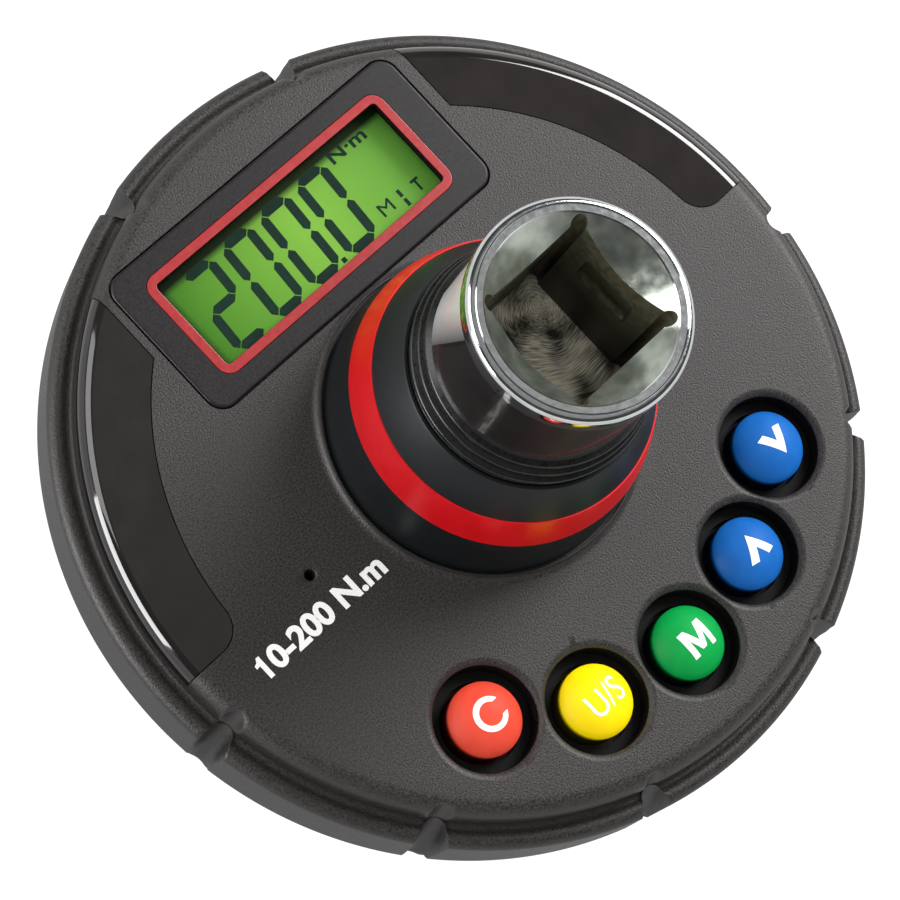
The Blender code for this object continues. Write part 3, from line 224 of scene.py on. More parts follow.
def close_mesh(weld=0.0):
    """Turns the faces of the mesh in edit mode outwards, after welding points nearer than weld."""
    bpy.ops.mesh.select_all(action="SELECT")
    if weld:
        bpy.ops.mesh.remove_doubles(threshold=weld)
    bpy.ops.mesh.normals_make_consistent(inside=False)
    bpy.ops.object.mode_set(mode="OBJECT")


def turned(name, profile, steps, at=(0.0, 0.0)):
    """A turned form: a circle drawn out from ring to ring through points of (radius, height).

    A radius of zero closes that end on the axis. A profile with neither end there is a loop."""
    rings = [point for point in profile if point[0] > 0]
    low_end = profile[0][0] == 0
    high_end = profile[-1][0] == 0
    radius, height = rings[0]
    bpy.ops.object.select_all(action="DESELECT")
    bpy.ops.mesh.primitive_circle_add(vertices=steps, radius=radius, location=(*at, TOP + height),
                                      fill_type="NGON" if low_end else "NOTHING")
    piece = named(name)
    bpy.ops.object.transform_apply(location=True)
    bpy.ops.object.mode_set(mode="EDIT")
    if not (low_end or high_end):
        rings = rings + rings[:1]
    for next_radius, next_height in rings[1:]:
        bpy.ops.mesh.extrude_edges_move(
            TRANSFORM_OT_translate={"value": (0.0, 0.0, next_height - height)})
        factor = next_radius / radius
        bpy.ops.transform.resize(value=(factor, factor, 1.0),
                                 center_override=(*at, TOP + next_height))
        radius, height = next_radius, next_height
    if high_end:
        bpy.ops.mesh.edge_face_add()
    close_mesh(0.0005 * MM)
    return piece


def plate(name, size, corner, low, high, at=(0.0, 0.0), turn=0.0):
    """A flat plate with rounded corners, raised from a plane."""
    bpy.ops.object.select_all(action="DESELECT")
    bpy.ops.mesh.primitive_plane_add(size=1.0, location=(*at, TOP + low),
                                     rotation=(0.0, 0.0, math.radians(turn)))
    piece = named(name)
    piece.scale = (*size, 1.0)
    bpy.ops.object.transform_apply(location=True, rotation=True, scale=True)
    bpy.ops.object.mode_set(mode="EDIT")
    bpy.ops.mesh.select_all(action="SELECT")
    if corner:
        bpy.ops.mesh.bevel(offset=corner, segments=8, affect="VERTICES")
    bpy.ops.mesh.extrude_region_move(TRANSFORM_OT_translate={"value": (0.0, 0.0, high - low)})
    close_mesh()
    return piece


def combine(piece, operation, *tools):
    """Joins closed shapes to a piece, cuts them out of it or keeps what they share with it."""
    for tool in tools:
        pick(piece)
        change = piece.modifiers.new(operation, "BOOLEAN")
        change.operation = operation
        change.solver = "MANIFOLD"
        change.object = tool
        bpy.ops.object.modifier_apply(modifier=change.name)
        bpy.data.objects.remove(tool)
    piece.data.materials.clear()
    return piece


def flute_off(point):
    """The angle from a point to the nearest flute's middle, and the point's radius."""
    angle = math.degrees(math.atan2(point.y, point.x))
    offs = [math.radians((angle - flute + 180) % 360 - 180) for flute in FLUTES]
    return min(offs, key=abs), math.hypot(point.x, point.y)


def press_flutes(piece, edge):
    """Presses the grip flutes into a turned rim of that radius: the marks of a leaning round bar."""
    pick(piece)
    bpy.ops.object.mode_set(mode="EDIT")
    bpy.ops.mesh.select_mode(type="FACE")
    bpy.ops.mesh.select_all(action="DESELECT")
    bpy.ops.object.mode_set(mode="OBJECT")
    for face in piece.data.polygons:
        off, radius = flute_off(face.center)
        face.select = radius > FLUTE_INNER and abs(off) < FLUTE_SPREAD
    bpy.ops.object.mode_set(mode="EDIT")
    bpy.ops.mesh.subdivide(number_cuts=1)
    bpy.ops.object.mode_set(mode="OBJECT")
    for vertex in piece.data.vertices:
        off, radius = flute_off(vertex.co)
        if radius < FLUTE_INNER or abs(off) > FLUTE_SPREAD:
            continue
        axis = edge - FLUTE_DEPTH + FLUTE_RADIUS / math.cos(FLUTE_LEAN)
        axis -= (vertex.co.z - TOP - SPLIT) * math.tan(FLUTE_LEAN)
        across = abs(axis * math.sin(off)) / FLUTE_RADIUS
        round_part = min(across, WALL_PLACE)
        reach = math.sqrt(1 - round_part ** 2) - (across - round_part) * WALL_SLOPE
        bar = axis * math.cos(off) - reach * FLUTE_RADIUS / math.cos(FLUTE_LEAN)
        near = max(FLUTE_BLEND - abs(radius - bar), 0.0) / FLUTE_BLEND
        pressed = min(radius, bar) - near ** 2 * FLUTE_BLEND / 4 + 0.01 * max(radius - bar, 0.0)
        vertex.co.x *= pressed / radius
        vertex.co.y *= pressed / radius
    return piece


def soften(piece, width, segments=2, angle=35):
    """Rounds a piece's sharp edges by a small width."""
    pick(piece)
    change = piece.modifiers.new("soften", "BEVEL")
    change.width = width
    change.segments = segments
    change.limit_method = "ANGLE"
    change.angle_limit = math.radians(angle)
    change.use_clamp_overlap = True
    bpy.ops.object.modifier_apply(modifier=change.name)
    return piece


def finish(piece, finish_material, angle=32):
    """Gives a piece its material and smooth faces that break at its sharp edges."""
    if not piece.data.materials:
        piece.data.materials.append(finish_material)
    pick(piece)
    bpy.ops.object.shade_smooth_by_angle(angle=math.radians(angle))
    change = piece.modifiers.new("even", "WEIGHTED_NORMAL")
    change.keep_sharp = True
    bpy.ops.object.modifier_apply(modifier=change.name)
    return piece


def settle(piece, body, slot, *nodes):
    """The piece rides on its body and stands for its CAD nodes, which are hidden. The slot is not used."""
    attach(piece, body)
    if nodes:
        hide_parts(*nodes)


def polar(radius, degrees):
    """The place at a radius and an angle in plan."""
    angle = math.radians(degrees)
    return (radius * math.cos(angle), radius * math.sin(angle))


def start_material(name, sockets):
    """A material whose Principled shader starts from plain values."""
    material = bpy.data.materials.new(name)
    material.use_nodes = True
    shader = material.node_tree.nodes["Principled BSDF"]
    for socket, value in sockets.items():
        shader.inputs[socket].default_value = value
    return material


def mottle(name, sockets, colours, roughness, grain, height):
    """A material whose one noise shades the colour and the roughness and raises the surface."""
    material = start_material(name, sockets)
    tree = material.node_tree
    shader = tree.nodes["Principled BSDF"]
    place = add_node(tree, "TexCoord").outputs["Object"]
    noise = add_node(tree, "TexNoise", {"Vector": place, "Scale": 1 / grain, "Detail": 2.0})
    low, high = NOISE_SPAN
    shade = add_ramp(tree, noise.outputs["Fac"], (low, colours[0]), (high, colours[1]))
    rough = add_node(tree, "MapRange", {0: noise.outputs["Fac"], 1: low, 2: high,
                                        3: roughness[0], 4: roughness[1]})
    bump = add_node(tree, "Bump", {"Height": noise.outputs["Fac"], "Distance": height})
    tree.links.new(shade, shader.inputs["Base Color"])
    tree.links.new(rough.outputs[0], shader.inputs["Roughness"])
    tree.links.new(bump.outputs["Normal"], shader.inputs["Normal"])
    return material


def object_axes(tree):
    """The outputs X, Y and Z of a surface point's place."""
    return add_node(tree, "SeparateXYZ", {0: add_node(tree, "TexCoord").outputs["Object"]}).outputs


def shade_downwards(material, low, high, least):
    """Paints shade into a material's colour: darkens it evenly from one height down to a lower one."""
    tree = material.node_tree
    shader = tree.nodes["Principled BSDF"]
    depth = add_node(tree, "MapRange", {0: object_axes(tree)["Z"], 1: TOP + low, 2: TOP + high,
                                        3: least})
    shaded = add_node(tree, "VectorMath", {0: shader.inputs["Base Color"].links[0].from_socket,
                                           "Scale": depth.outputs[0]}, operation="SCALE")
    tree.links.new(shaded.outputs[0], shader.inputs["Base Color"])


def dress(material, *nodes):
    """Gives carried-over CAD nodes their material."""
    for name in nodes:
        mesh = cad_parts[name].data
        mesh.materials.clear()
        mesh.materials.append(material)


# Spark-eroded ABS: the mould's fine pits leave a dry speckle of about a fifth of a millimetre
# that breaks up every highlight.
grained_abs = mottle("grained_abs", {"Specular IOR Level": 0.5},
                     ("#181615", "#3b3735"), (0.38, 0.56), 0.20 * MM, 0.055 * MM)
# Painted shade: the walls and floors of the button wells are polished ABS, painted near-black to stand in
# for the shade down in the wells.
well_shade_abs = mottle("well_shade_abs", {"Specular IOR Level": 0.15}, ("#0d0c0c", "#131212"),
                    (0.55, 0.65), 0.3 * MM, 0.0)

base_cover = turned("base_cover", rounded([
    (SEAL_BORE, BASE),
    (SKIRT_RADIUS, BASE, 2.5 * MM),
    (BASE_RIM, BASE_TOP - 1.4 * MM, 1.2 * MM),
    (BASE_RIM, BASE_TOP, 0.25 * MM),
    (SKIRT_RADIUS - 0.3 * MM, BASE_TOP),
    (SKIRT_RADIUS - 0.3 * MM, SPLIT + 1.45 * MM),
    (SKIRT_RADIUS - 1.8 * MM, SPLIT + 1.45 * MM),
    (SKIRT_RADIUS - 1.8 * MM, BASE + WALL),
    (SEAL_BORE + WALL, BASE + WALL),
    (SEAL_BORE + WALL, BASE + WALL + 1.6 * MM),
    (SHAFT_BORE, BASE + WALL + 1.6 * MM),
    (SHAFT_BORE, BASE + WALL),
    (SEAL_BORE, BASE + WALL),
]), RIM_STEPS)
press_flutes(base_cover, BASE_RIM)
for angle in SCREW_ANGLES:
    place = polar(SCREW_CIRCLE, angle)
    post = turned("post", [(0, BASE + WALL / 2), (SCREW_HEAD + 1.2 * MM, BASE + WALL / 2),
                           (SCREW_HEAD + 1.2 * MM, SPLIT - 0.15 * MM), (0, SPLIT - 0.15 * MM)],
                  32, place)
    well = turned("well", [(0, BASE - WALL), (SCREW_HEAD + 0.8 * MM, BASE - WALL),
                           (SCREW_HEAD + 0.8 * MM, BASE), (SCREW_HEAD + 0.3 * MM, BASE + 0.4 * MM),
                           (SCREW_HEAD + 0.3 * MM, BASE + 3.0 * MM), (1.6 * MM, BASE + 3.0 * MM),
                           (1.6 * MM, SPLIT + WALL), (0, SPLIT + WALL)], 48, place)
    combine(base_cover, "UNION", post)
    combine(base_cover, "DIFFERENCE", well)
cell_wall = turned("cell_wall", [(0, BASE + WALL / 2), (CELL_FLANGE + 1.8 * MM, BASE + WALL / 2),
                                 (CELL_FLANGE + 1.8 * MM, BASE + 3.0 * MM), (0, BASE + 3.0 * MM)],
                   96, CELL_PLACE)
cell_seat = turned("cell_seat", [(0, BASE - WALL), (CELL_FLANGE + 0.7 * MM, BASE - WALL),
                                 (CELL_FLANGE + 0.7 * MM, BASE), (CELL_FLANGE + 0.3 * MM, BASE + 0.4 * MM),
                                 (CELL_FLANGE + 0.3 * MM, BASE + 1.8 * MM),
                                 (CELL_FLANGE - 1.1 * MM, BASE + 1.8 * MM),
                                 (CELL_FLANGE - 1.1 * MM, BASE + 2 * WALL), (0, BASE + 2 * WALL)],
                   128, CELL_PLACE)
combine(base_cover, "UNION", cell_wall)
combine(base_cover, "DIFFERENCE", cell_seat)
settle(finish(base_cover, grained_abs, 50), "gauge", "grained_abs", "bottom_cover")

# Base screws: four cross-recessed pan head screws in zinc-plated steel. They pass through the
# base's posts into the bosses of the top cover.
SCREW_LOW = BASE + 0.5 * MM
SCREW_NECK = SCREW_LOW + 2.2 * MM
SCREW_END = SCREW_NECK + 9.5 * MM
SCREW_SHANK = 1.3 * MM

# Zinc plate: bluish bright steel, dulled by fine crystals.
zinc_plate = mottle("zinc_plated_steel", {"Metallic": 1.0},
                    ("#8f9297", "#b6b9bd"), (0.22, 0.38), 0.25 * MM, 0.004 * MM)

screw = turned("base_screw_1", rounded([
    (0, SCREW_LOW),
    (SCREW_HEAD, SCREW_LOW, 1.1 * MM),
    (SCREW_HEAD, SCREW_NECK, 0.15 * MM),
    (SCREW_SHANK, SCREW_NECK),
    (SCREW_SHANK, SCREW_END - SCREW_SHANK),
    (SCREW_SHANK * 0.6, SCREW_END),
    (0, SCREW_END),
]), 48, polar(SCREW_CIRCLE, SCREW_ANGLES[0]))
for turn in (0, 90):
    combine(screw, "DIFFERENCE", plate("cross", (3.6 * MM, 0.8 * MM), 0.0, SCREW_LOW - WALL,
                                       SCREW_LOW + 1.3 * MM, polar(SCREW_CIRCLE, SCREW_ANGLES[0]),
                                       turn + SCREW_ANGLES[0]))
finish(screw, zinc_plate)
screws = [screw]
for i, angle in enumerate(SCREW_ANGLES[1:], 2):
    copy = bpy.data.objects.new("base_screw_%d" % i, screw.data.copy())
    copy.data.transform(Matrix.Rotation(math.radians(angle - SCREW_ANGLES[0]), 4, "Z"))
    bpy.context.scene.collection.objects.link(copy)
    screws.append(copy)
for i, piece in enumerate(screws, 1):
    settle(piece, "gauge", "bright_steel", "cover_screw_%d" % i)

# Coin cell cap: a round ABS cap with a coin slot and two bayonet lugs. A quarter turn locks it
# over the cell, and a flat rubber ring under its flange keeps dust out.
CAP_NECK = CELL_FLANGE - 1.4 * MM
CAP_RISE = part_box("battery_cap")[1].z - TOP

cell_cap = turned("cell_cap", rounded([
    (0, BASE),
    (CELL_FLANGE, BASE, 0.35 * MM),
    (CELL_FLANGE, BASE + 0.7 * MM),
    (CAP_NECK, BASE + 0.7 * MM),
    (CAP_NECK, CAP_RISE, 0.1 * MM),
    (CAP_NECK - 0.9 * MM, CAP_RISE),
    (CAP_NECK - 0.9 * MM, BASE + 1.4 * MM),
    (0, BASE + 1.4 * MM),
]), 128, CELL_PLACE)
for angle in (185, 5):
    off = polar(CAP_NECK + 0.4 * MM, angle)
    lug = plate("lug", (1.8 * MM, 5.0 * MM), 0.2 * MM, CAP_RISE - 1.8 * MM, CAP_RISE - 0.8 * MM,
                (CELL_PLACE[0] + off[0], CELL_PLACE[1] + off[1]), angle)
    combine(cell_cap, "UNION", lug)
combine(cell_cap, "DIFFERENCE", plate("coin_slot", (14.0 * MM, 2.0 * MM), 0.95 * MM, BASE - WALL,
                                      BASE + 0.9 * MM, CELL_PLACE, 45))
settle(finish(cell_cap, grained_abs), "battery_cap_body", "grained_abs", "battery_cap")

# Nitrile rubber: matt black, with a faint bloom.
nitrile = mottle("nitrile_rubber", {}, ("#131313", "#1f1f1f"), (0.5, 0.68),
                 0.4 * MM, 0.006 * MM)
# Glass-filled nylon: matt black with fine flow marks.
black_nylon = mottle("black_nylon", {}, ("#181818", "#242424"), (0.4, 0.55),
                     0.25 * MM, 0.01 * MM)
# Nickel plate: warm bright metal, lightly scuffed.
nickel = mottle("nickel_plate", {"Metallic": 1.0}, ("#a9a49a", "#c6c1b6"),
                (0.18, 0.34), 0.5 * MM, 0.003 * MM)
dress(nitrile, "battery_cap_seal", "lower_seal", "lcd_strip_front", "lcd_strip_rear")
dress(black_nylon, "battery_tray")
dress(nickel, "coin_cell", "battery_contact_minus", "battery_contact_plus")

# Circuit board and what is soldered to it, all out of sight once the covers are closed.
# Glass-epoxy board with a green solder mask, black epoxy packages and switches.
solder_mask = mottle("solder_mask", {"Coat Weight": 0.3}, ("#0e4a25", "#17602f"),
                     (0.3, 0.45), 0.6 * MM, 0.01 * MM)
dress(solder_mask, "main_board")
dress(black_nylon, "controller_chip", "angle_sensor", "buzzer", "switch_clear", "switch_units",
      "switch_mode", "switch_up", "switch_down")
# Clear epoxy lamps: milky in the body, glossy outside.
lamp_epoxy = mottle("clear_epoxy", {}, ("#e6e2d6", "#f4f2ea"), (0.12, 0.22),
                    0.5 * MM, 0.002 * MM)
dress(lamp_epoxy, "status_led_1", "status_led_2", "status_led_3", "status_led_4")

# Drive shaft: one forged and broached bar, chrome plated outside. The male square is at its foot,
# the female square is broached into its head, and the neck between them carries the wrap.
HEAD_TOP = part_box("drive_shaft")[1].z - TOP
HEAD_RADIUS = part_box("drive_shaft")[1].x
NECK_RADIUS = HEAD_RADIUS - 0.25 * MM
JOURNAL = SHAFT_BORE - 0.3 * MM
FOOT = -TOP
SHOULDER = BASE - 1.0 * MM
SQUARE = 12.7 * MM
BROACHED = SQUARE + 0.15 * MM
MOUTH = NECK_RADIUS - 1.45 * MM
BROACH_FLOOR = HEAD_TOP - 17.5 * MM
GROOVE_MID = HEAD_TOP - 7.75 * MM
RELIEF = 0.8 * MM
BALL_RADIUS = 2.0 * MM
BALL_X = SQUARE / 2 + 0.8 * MM - BALL_RADIUS
BALL_Z = (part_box("detent_ball")[0].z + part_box("detent_ball")[1].z) / 2
SHAFT_STEPS = 256
STROKE_WIDTH = 0.10 * MM
ARC_CENTRE = (6.0 * MM, 4.5 * MM, 0.0)


def calculate(tree, operation, first, second):
    """The output of a math node with two values or links."""
    return add_node(tree, "Math", {0: first, 1: second}, operation=operation).outputs[0]


# Polished chrome plate: mirror bright with a faint blue cast and the ghost of the polishing marks.
chrome = mottle("polished_chrome", {"Metallic": 1.0}, ("#d3d6d8", "#e2e4e5"),
                (0.07, 0.13), 1.5 * MM, 0.004 * MM)
# Broached steel: the plating thins out in the bore and leaves an oily olive cast; painted shade darkens
# the walls further down the bore.
broached = mottle("broached_steel", {"Metallic": 0.6}, ("#5a5946", "#86846a"),
                  (0.38, 0.52), 0.7 * MM, 0.02 * MM)
shade_downwards(broached, HEAD_TOP - 12 * MM, HEAD_TOP - 3 * MM, 0.12)
# Machined countersink: fine turning marks under thin plating, a soft greenish grey.
machined = mottle("machined_steel", {"Metallic": 0.88}, ("#9ba499", "#c6cdc2"),
                  (0.12, 0.19), 1.8 * MM, 0.008 * MM)
# Ground chrome: the head's flat ring keeps a faint haze from the wheel.
ground = mottle("ground_chrome", {"Metallic": 1.0}, ("#d3d5d6", "#dfe1e1"),
                (0.14, 0.20), 0.5 * MM, 0.0015 * MM)
# Milled floor: the cutter's arcs turn about a point near one corner. Each stroke is a tenth of a
# millimetre wide and a few millimetres long, and some sectors catch the light.
milled = start_material("milled_steel", {"Metallic": 0.5, "Roughness": 0.42})
tree = milled.node_tree
place = add_node(tree, "TexCoord").outputs["Object"]
stir = add_node(tree, "TexNoise", {"Vector": place, "Scale": 1 / (7 * MM), "Detail": 1.0})
shove = add_node(tree, "VectorMath", {0: stir.outputs["Color"], 1: (3 * MM, 3 * MM, 0.0)},
                 operation="MULTIPLY")
swirl = add_node(tree, "VectorMath", {0: place, 1: shove.outputs[0]}, operation="ADD")
centred = add_node(tree, "VectorMath", {0: swirl.outputs[0], 1: ARC_CENTRE}, operation="SUBTRACT")
spread = add_node(tree, "SeparateXYZ", {0: centred.outputs[0]})
bearing = calculate(tree, "ARCTAN2", spread.outputs["Y"], spread.outputs["X"])
flat = add_node(tree, "VectorMath", {0: centred.outputs[0], 1: (1.0, 1.0, 0.0)}, operation="MULTIPLY")
distance = add_node(tree, "VectorMath", {0: flat.outputs[0]}, operation="LENGTH")
rings = calculate(tree, "DIVIDE", distance.outputs["Value"], STROKE_WIDTH)
arc_place = add_node(tree, "CombineXYZ", {0: calculate(tree, "MULTIPLY", bearing, 3.0), 1: rings})
strokes = add_node(tree, "TexNoise", {"Vector": arc_place.outputs[0], "Scale": 1.0, "Detail": 2.0})
sectors = add_node(tree, "TexNoise", {"Vector": swirl.outputs[0], "Scale": 1 / (3.2 * MM), "Detail": 1.0})
# Painted highlight: the sectors that catch the light are painted into the colour, up to near white.
lit_strokes = calculate(tree, "MULTIPLY", strokes.outputs["Fac"], sectors.outputs["Fac"])
shade = add_ramp(tree, lit_strokes, (0.14, "#37342a"), (0.36, "#fff8e0"))
bump = add_node(tree, "Bump", {"Height": strokes.outputs["Fac"], "Distance": 0.03 * MM})
shader = tree.nodes["Principled BSDF"]
tree.links.new(shade, shader.inputs["Base Color"])
tree.links.new(bump.outputs["Normal"], shader.inputs["Normal"])

shaft = turned("shaft", rounded([
    (0, HEAD_TOP),
    (MOUTH + 0.15 * MM, HEAD_TOP),
    (MOUTH + 0.75 * MM, HEAD_TOP),
    (MOUTH + 0.85 * MM, HEAD_TOP - 0.08 * MM),
    (MOUTH + 0.95 * MM, HEAD_TOP),
    (HEAD_RADIUS, HEAD_TOP, 0.70 * MM),
    (HEAD_RADIUS, HEAD_TOP - 2.4 * MM, 0.12 * MM),
    (NECK_RADIUS, HEAD_TOP - 2.6 * MM),
    (NECK_RADIUS, -3.2 * MM),
    (JOURNAL - 2.4 * MM, -5.0 * MM),
    (JOURNAL - 2.4 * MM, BASE + 7.5 * MM),
    (JOURNAL, BASE + 6.3 * MM),
    (JOURNAL, BASE + 5.4 * MM),
    (JOURNAL - 1.2 * MM, BASE + 5.4 * MM),
    (JOURNAL - 1.2 * MM, BASE + 3.9 * MM),
    (JOURNAL, BASE + 3.9 * MM),
    (JOURNAL, SHOULDER, 0.4 * MM),
    (0, SHOULDER),
]), SHAFT_STEPS)
male = plate("male_square", (SQUARE, SQUARE), 0.8 * MM, FOOT + 1.0 * MM, SHOULDER + 1.0 * MM)
pick(male)
bpy.ops.object.mode_set(mode="EDIT")
bpy.ops.mesh.select_all(action="DESELECT")
bpy.ops.mesh.select_mode(type="FACE")
bpy.ops.object.mode_set(mode="OBJECT")
for face in male.data.polygons:
    face.select = face.normal.z < -0.9
bpy.ops.object.mode_set(mode="EDIT")
bpy.ops.mesh.extrude_region_move(TRANSFORM_OT_translate={"value": (0.0, 0.0, -0.6 * MM)})
bpy.ops.transform.resize(value=(0.965, 0.965, 1.0), center_override=(0.0, 0.0, 0.4 * MM))
bpy.ops.mesh.extrude_region_move(TRANSFORM_OT_translate={"value": (0.0, 0.0, -0.4 * MM)})
bpy.ops.transform.resize(value=(0.90, 0.90, 1.0), center_override=(0.0, 0.0, 0.0))
bpy.ops.object.mode_set(mode="OBJECT")
combine(shaft, "UNION", male)
sink = turned("sink", [(0, HEAD_TOP + WALL), (MOUTH + WALL, HEAD_TOP + WALL),
                       (MOUTH + 0.14 * MM, HEAD_TOP + 0.01 * MM), (MOUTH, HEAD_TOP - 0.12 * MM),
                       (BROACHED / 2 - 0.4 * MM, HEAD_TOP - 3.4 * MM), (0, HEAD_TOP - 3.4 * MM)],
              SHAFT_STEPS)
combine(shaft, "DIFFERENCE", sink)
combine(shaft, "DIFFERENCE", plate("broach", (BROACHED, BROACHED), 0.0, BROACH_FLOOR,
                                   HEAD_TOP + WALL))
relief = BROACHED / 2 - RELIEF / 2
for x, y in ((1, 1), (1, -1), (-1, 1), (-1, -1)):
    combine(shaft, "DIFFERENCE", turned("relief", [(0, BROACH_FLOOR), (RELIEF, BROACH_FLOOR),
                                                   (RELIEF, HEAD_TOP + WALL), (0, HEAD_TOP + WALL)],
                                        40, (x * relief, y * relief)))
for turn in (0, 90):
    groove = plate("detent_groove", (BROACHED + 1.6 * MM, 6.6 * MM), 0.0, GROOVE_MID - 2.05 * MM,
                   GROOVE_MID + 2.05 * MM, turn=turn)
    soften(groove, 0.75 * MM, 6)
    combine(shaft, "DIFFERENCE", groove)
bpy.ops.object.select_all(action="DESELECT")
bpy.ops.mesh.primitive_cylinder_add(vertices=64, radius=BALL_RADIUS + 0.12 * MM, depth=12 * MM,
                                    location=(BALL_X + 4 * MM, 0.0, BALL_Z),
                                    rotation=(0.0, math.radians(90), 0.0))
hole = bpy.context.object
bpy.ops.object.transform_apply(location=True, rotation=True)
combine(shaft, "DIFFERENCE", hole)
coats = (chrome, broached, milled, machined, ground)
for coat in coats:
    shaft.data.materials.append(coat)
for face in shaft.data.polygons:
    level = face.center.z - TOP
    away = math.hypot(face.center.x, face.center.y)
    if away > MOUTH + 0.05 * MM or level < BROACH_FLOOR - MM:
        if face.normal.z > 0.99 and level > HEAD_TOP - 0.1 * MM:
            face.material_index = coats.index(ground)
        continue
    if face.normal.z > 0.9 and level < BROACH_FLOOR + MM:
        face.material_index = coats.index(milled)
    elif face.normal.z > 0.4 and level > HEAD_TOP - 3.45 * MM:
        face.material_index = coats.index(machined)
    else:
        face.material_index = coats.index(broached)
settle(finish(shaft, chrome), "gauge", "chromed_steel", "drive_shaft")

# Detent ball: a hardened steel ball that a spring pushes out of the male square's side.
bpy.ops.object.select_all(action="DESELECT")
bpy.ops.mesh.primitive_uv_sphere_add(segments=48, ring_count=24, radius=BALL_RADIUS,
                                     location=(BALL_X, 0.0, BALL_Z),
                                     rotation=(0.0, math.radians(90), 0.0))
ball = named("ball")
bpy.ops.object.transform_apply(location=True, rotation=True)
settle(finish(ball, nickel), "detent_ball_body", "bright_steel", "detent_ball")

# Spring wire, retaining ring, hub and pins: bright steel fittings inside the housing. The strain
# gauges on the shaft's waist are amber polyimide foil.
polyimide = mottle("polyimide_foil", {}, ("#a8641b", "#c98a35"), (0.25, 0.4),
                   0.3 * MM, 0.004 * MM)
dress(zinc_plate, "detent_spring", "retaining_ring", "hub_sleeve", "hub_pin_1", "hub_pin_2")
dress(polyimide, "strain_gauge_front", "strain_gauge_rear")

# Top cover: one moulded ABS shell with a flat grained top, a rounded shoulder, a deep cove and a
# rim with eight grip flutes. Button wells, window seats and the display's seat are moulded in.
SHOULDER_RADIUS = RIM_RADIUS - 2.6 * MM
SHOULDER_ROUND = 1.9 * MM
COLLAR_FOOT = 16.95 * MM
BUTTON_CIRCLE = RIM_RADIUS - 12.54 * MM
BUTTONS = (("clear", -133.8), ("units", -111.9), ("mode", -90.0), ("up", -68.1), ("down", -46.2))
WELL_RADIUS = 5.475 * MM
WELL_FLOOR = -2.6 * MM
STEM_HOLE = 4.3 * MM
BEZEL_PLACE = (-0.3 * MM, 26.4 * MM)
BEZEL_SIZE = (40.5 * MM, 17.6 * MM)
BEZEL_CORNER = 2.0 * MM
BEZEL_SEAT = -1.25 * MM
WINDOW_INNER = RIM_RADIUS - 9.8 * MM
WINDOW_SIDE = 21.7 * MM
WINDOW_LOW = -2.9 * MM
WINDOW_CORNER = 3.0 * MM
SOUND_HOLE = (-25.1 * MM, -0.2 * MM)


def divided(points, longest):
    """A profile with its long runs split, so that the flutes bend it evenly."""
    fine = [points[0]]
    for point in points[1:]:
        last = Vector(fine[-1])
        run = Vector(point) - last
        count = max(1, math.ceil(run.length / longest))
        fine += [tuple(last + run * (k + 1) / count) for k in range(count)]
    return fine


def window_form(name, side, gap, low, deep):
    """The curved band that a window fills: the crown's own line, ended by straight sides."""
    over = gap * 8
    crown = rounded([
        (WINDOW_INNER - gap, -deep),
        (WINDOW_INNER - gap, over),
        (SHOULDER_RADIUS + over, over, SHOULDER_ROUND + over),
        (SHOULDER_RADIUS + over, low - gap),
        (SHOULDER_RADIUS - deep, low - gap),
        (SHOULDER_RADIUS - deep, -deep, SHOULDER_ROUND - deep),
    ], 10)
    band = turned(name, crown, RIM_STEPS)
    near = WINDOW_SIDE - gap
    reach = 2 * RIM_RADIUS
    keep = plate("keep", (reach, reach), 0.0, -2 * WINDOW_INNER, 2 * WINDOW_INNER,
                 (side * (near + reach / 2), reach / 2 - gap))
    combine(band, "INTERSECT", keep)
    corner = WINDOW_CORNER + gap
    middle_y = corner - gap
    middle_x = math.sqrt((WINDOW_INNER - gap + corner) ** 2 - middle_y ** 2)
    touch_y = middle_y * (WINDOW_INNER - gap) / (WINDOW_INNER - gap + corner)
    left = WINDOW_INNER - WALL
    chip = plate("chip", (middle_x - left, touch_y + WALL), 0.0, -2 * WALL, 2 * WALL,
                 (side * (middle_x + left) / 2, (touch_y - WALL) / 2))
    round_bar = turned("round_bar", [(0, -4 * WALL), (corner, -4 * WALL), (corner, 4 * WALL),
                                     (0, 4 * WALL)], 128, (side * middle_x, middle_y))
    combine(chip, "DIFFERENCE", round_bar)
    return combine(band, "DIFFERENCE", chip)


def well_form(at):
    """What a button well takes out of the cover: a soft mouth, a deep wall and the stem's hole."""
    return turned("well", rounded([
        (0, WALL),
        (WELL_RADIUS + 0.8 * MM, WALL),
        (WELL_RADIUS + 0.8 * MM, 0.0),
        (WELL_RADIUS + 0.45 * MM, -0.03 * MM),
        (WELL_RADIUS, -0.5 * MM, 0.45 * MM),
        (WELL_RADIUS - 0.1 * MM, WELL_FLOOR),
        (STEM_HOLE, WELL_FLOOR),
        (STEM_HOLE, -3 * WALL),
        (0, -3 * WALL),
    ]), 96, at)


cover = turned("cover", divided(rounded([
    (NECK_RADIUS + 0.3 * MM, -3.2 * MM),
    (NECK_RADIUS + 0.3 * MM, 0.0),
    (COLLAR_FOOT, 0.0),
    (COLLAR_FOOT, 0.9 * MM),
    (COLLAR_FOOT + 0.1 * MM, 0.9 * MM),
    (COLLAR_FOOT + 0.15 * MM, 0.0, 0.85 * MM),
    (SHOULDER_RADIUS, 0.0, SHOULDER_ROUND),
    (SHOULDER_RADIUS, -4.9 * MM, 0.5 * MM),
    (SHOULDER_RADIUS + 1.3 * MM, -3.7 * MM, 0.9 * MM),
    (RIM_RADIUS, -4.1 * MM, 1.1 * MM),
    (RIM_RADIUS, SPLIT, 0.3 * MM),
    (SKIRT_RADIUS, SPLIT),
    (SKIRT_RADIUS, -WALL, WALL / 2),
    (COLLAR_FOOT - WALL, -WALL),
    (COLLAR_FOOT - WALL, -3.2 * MM),
], 6), 1.6 * MM), RIM_STEPS)
press_flutes(cover, RIM_RADIUS)
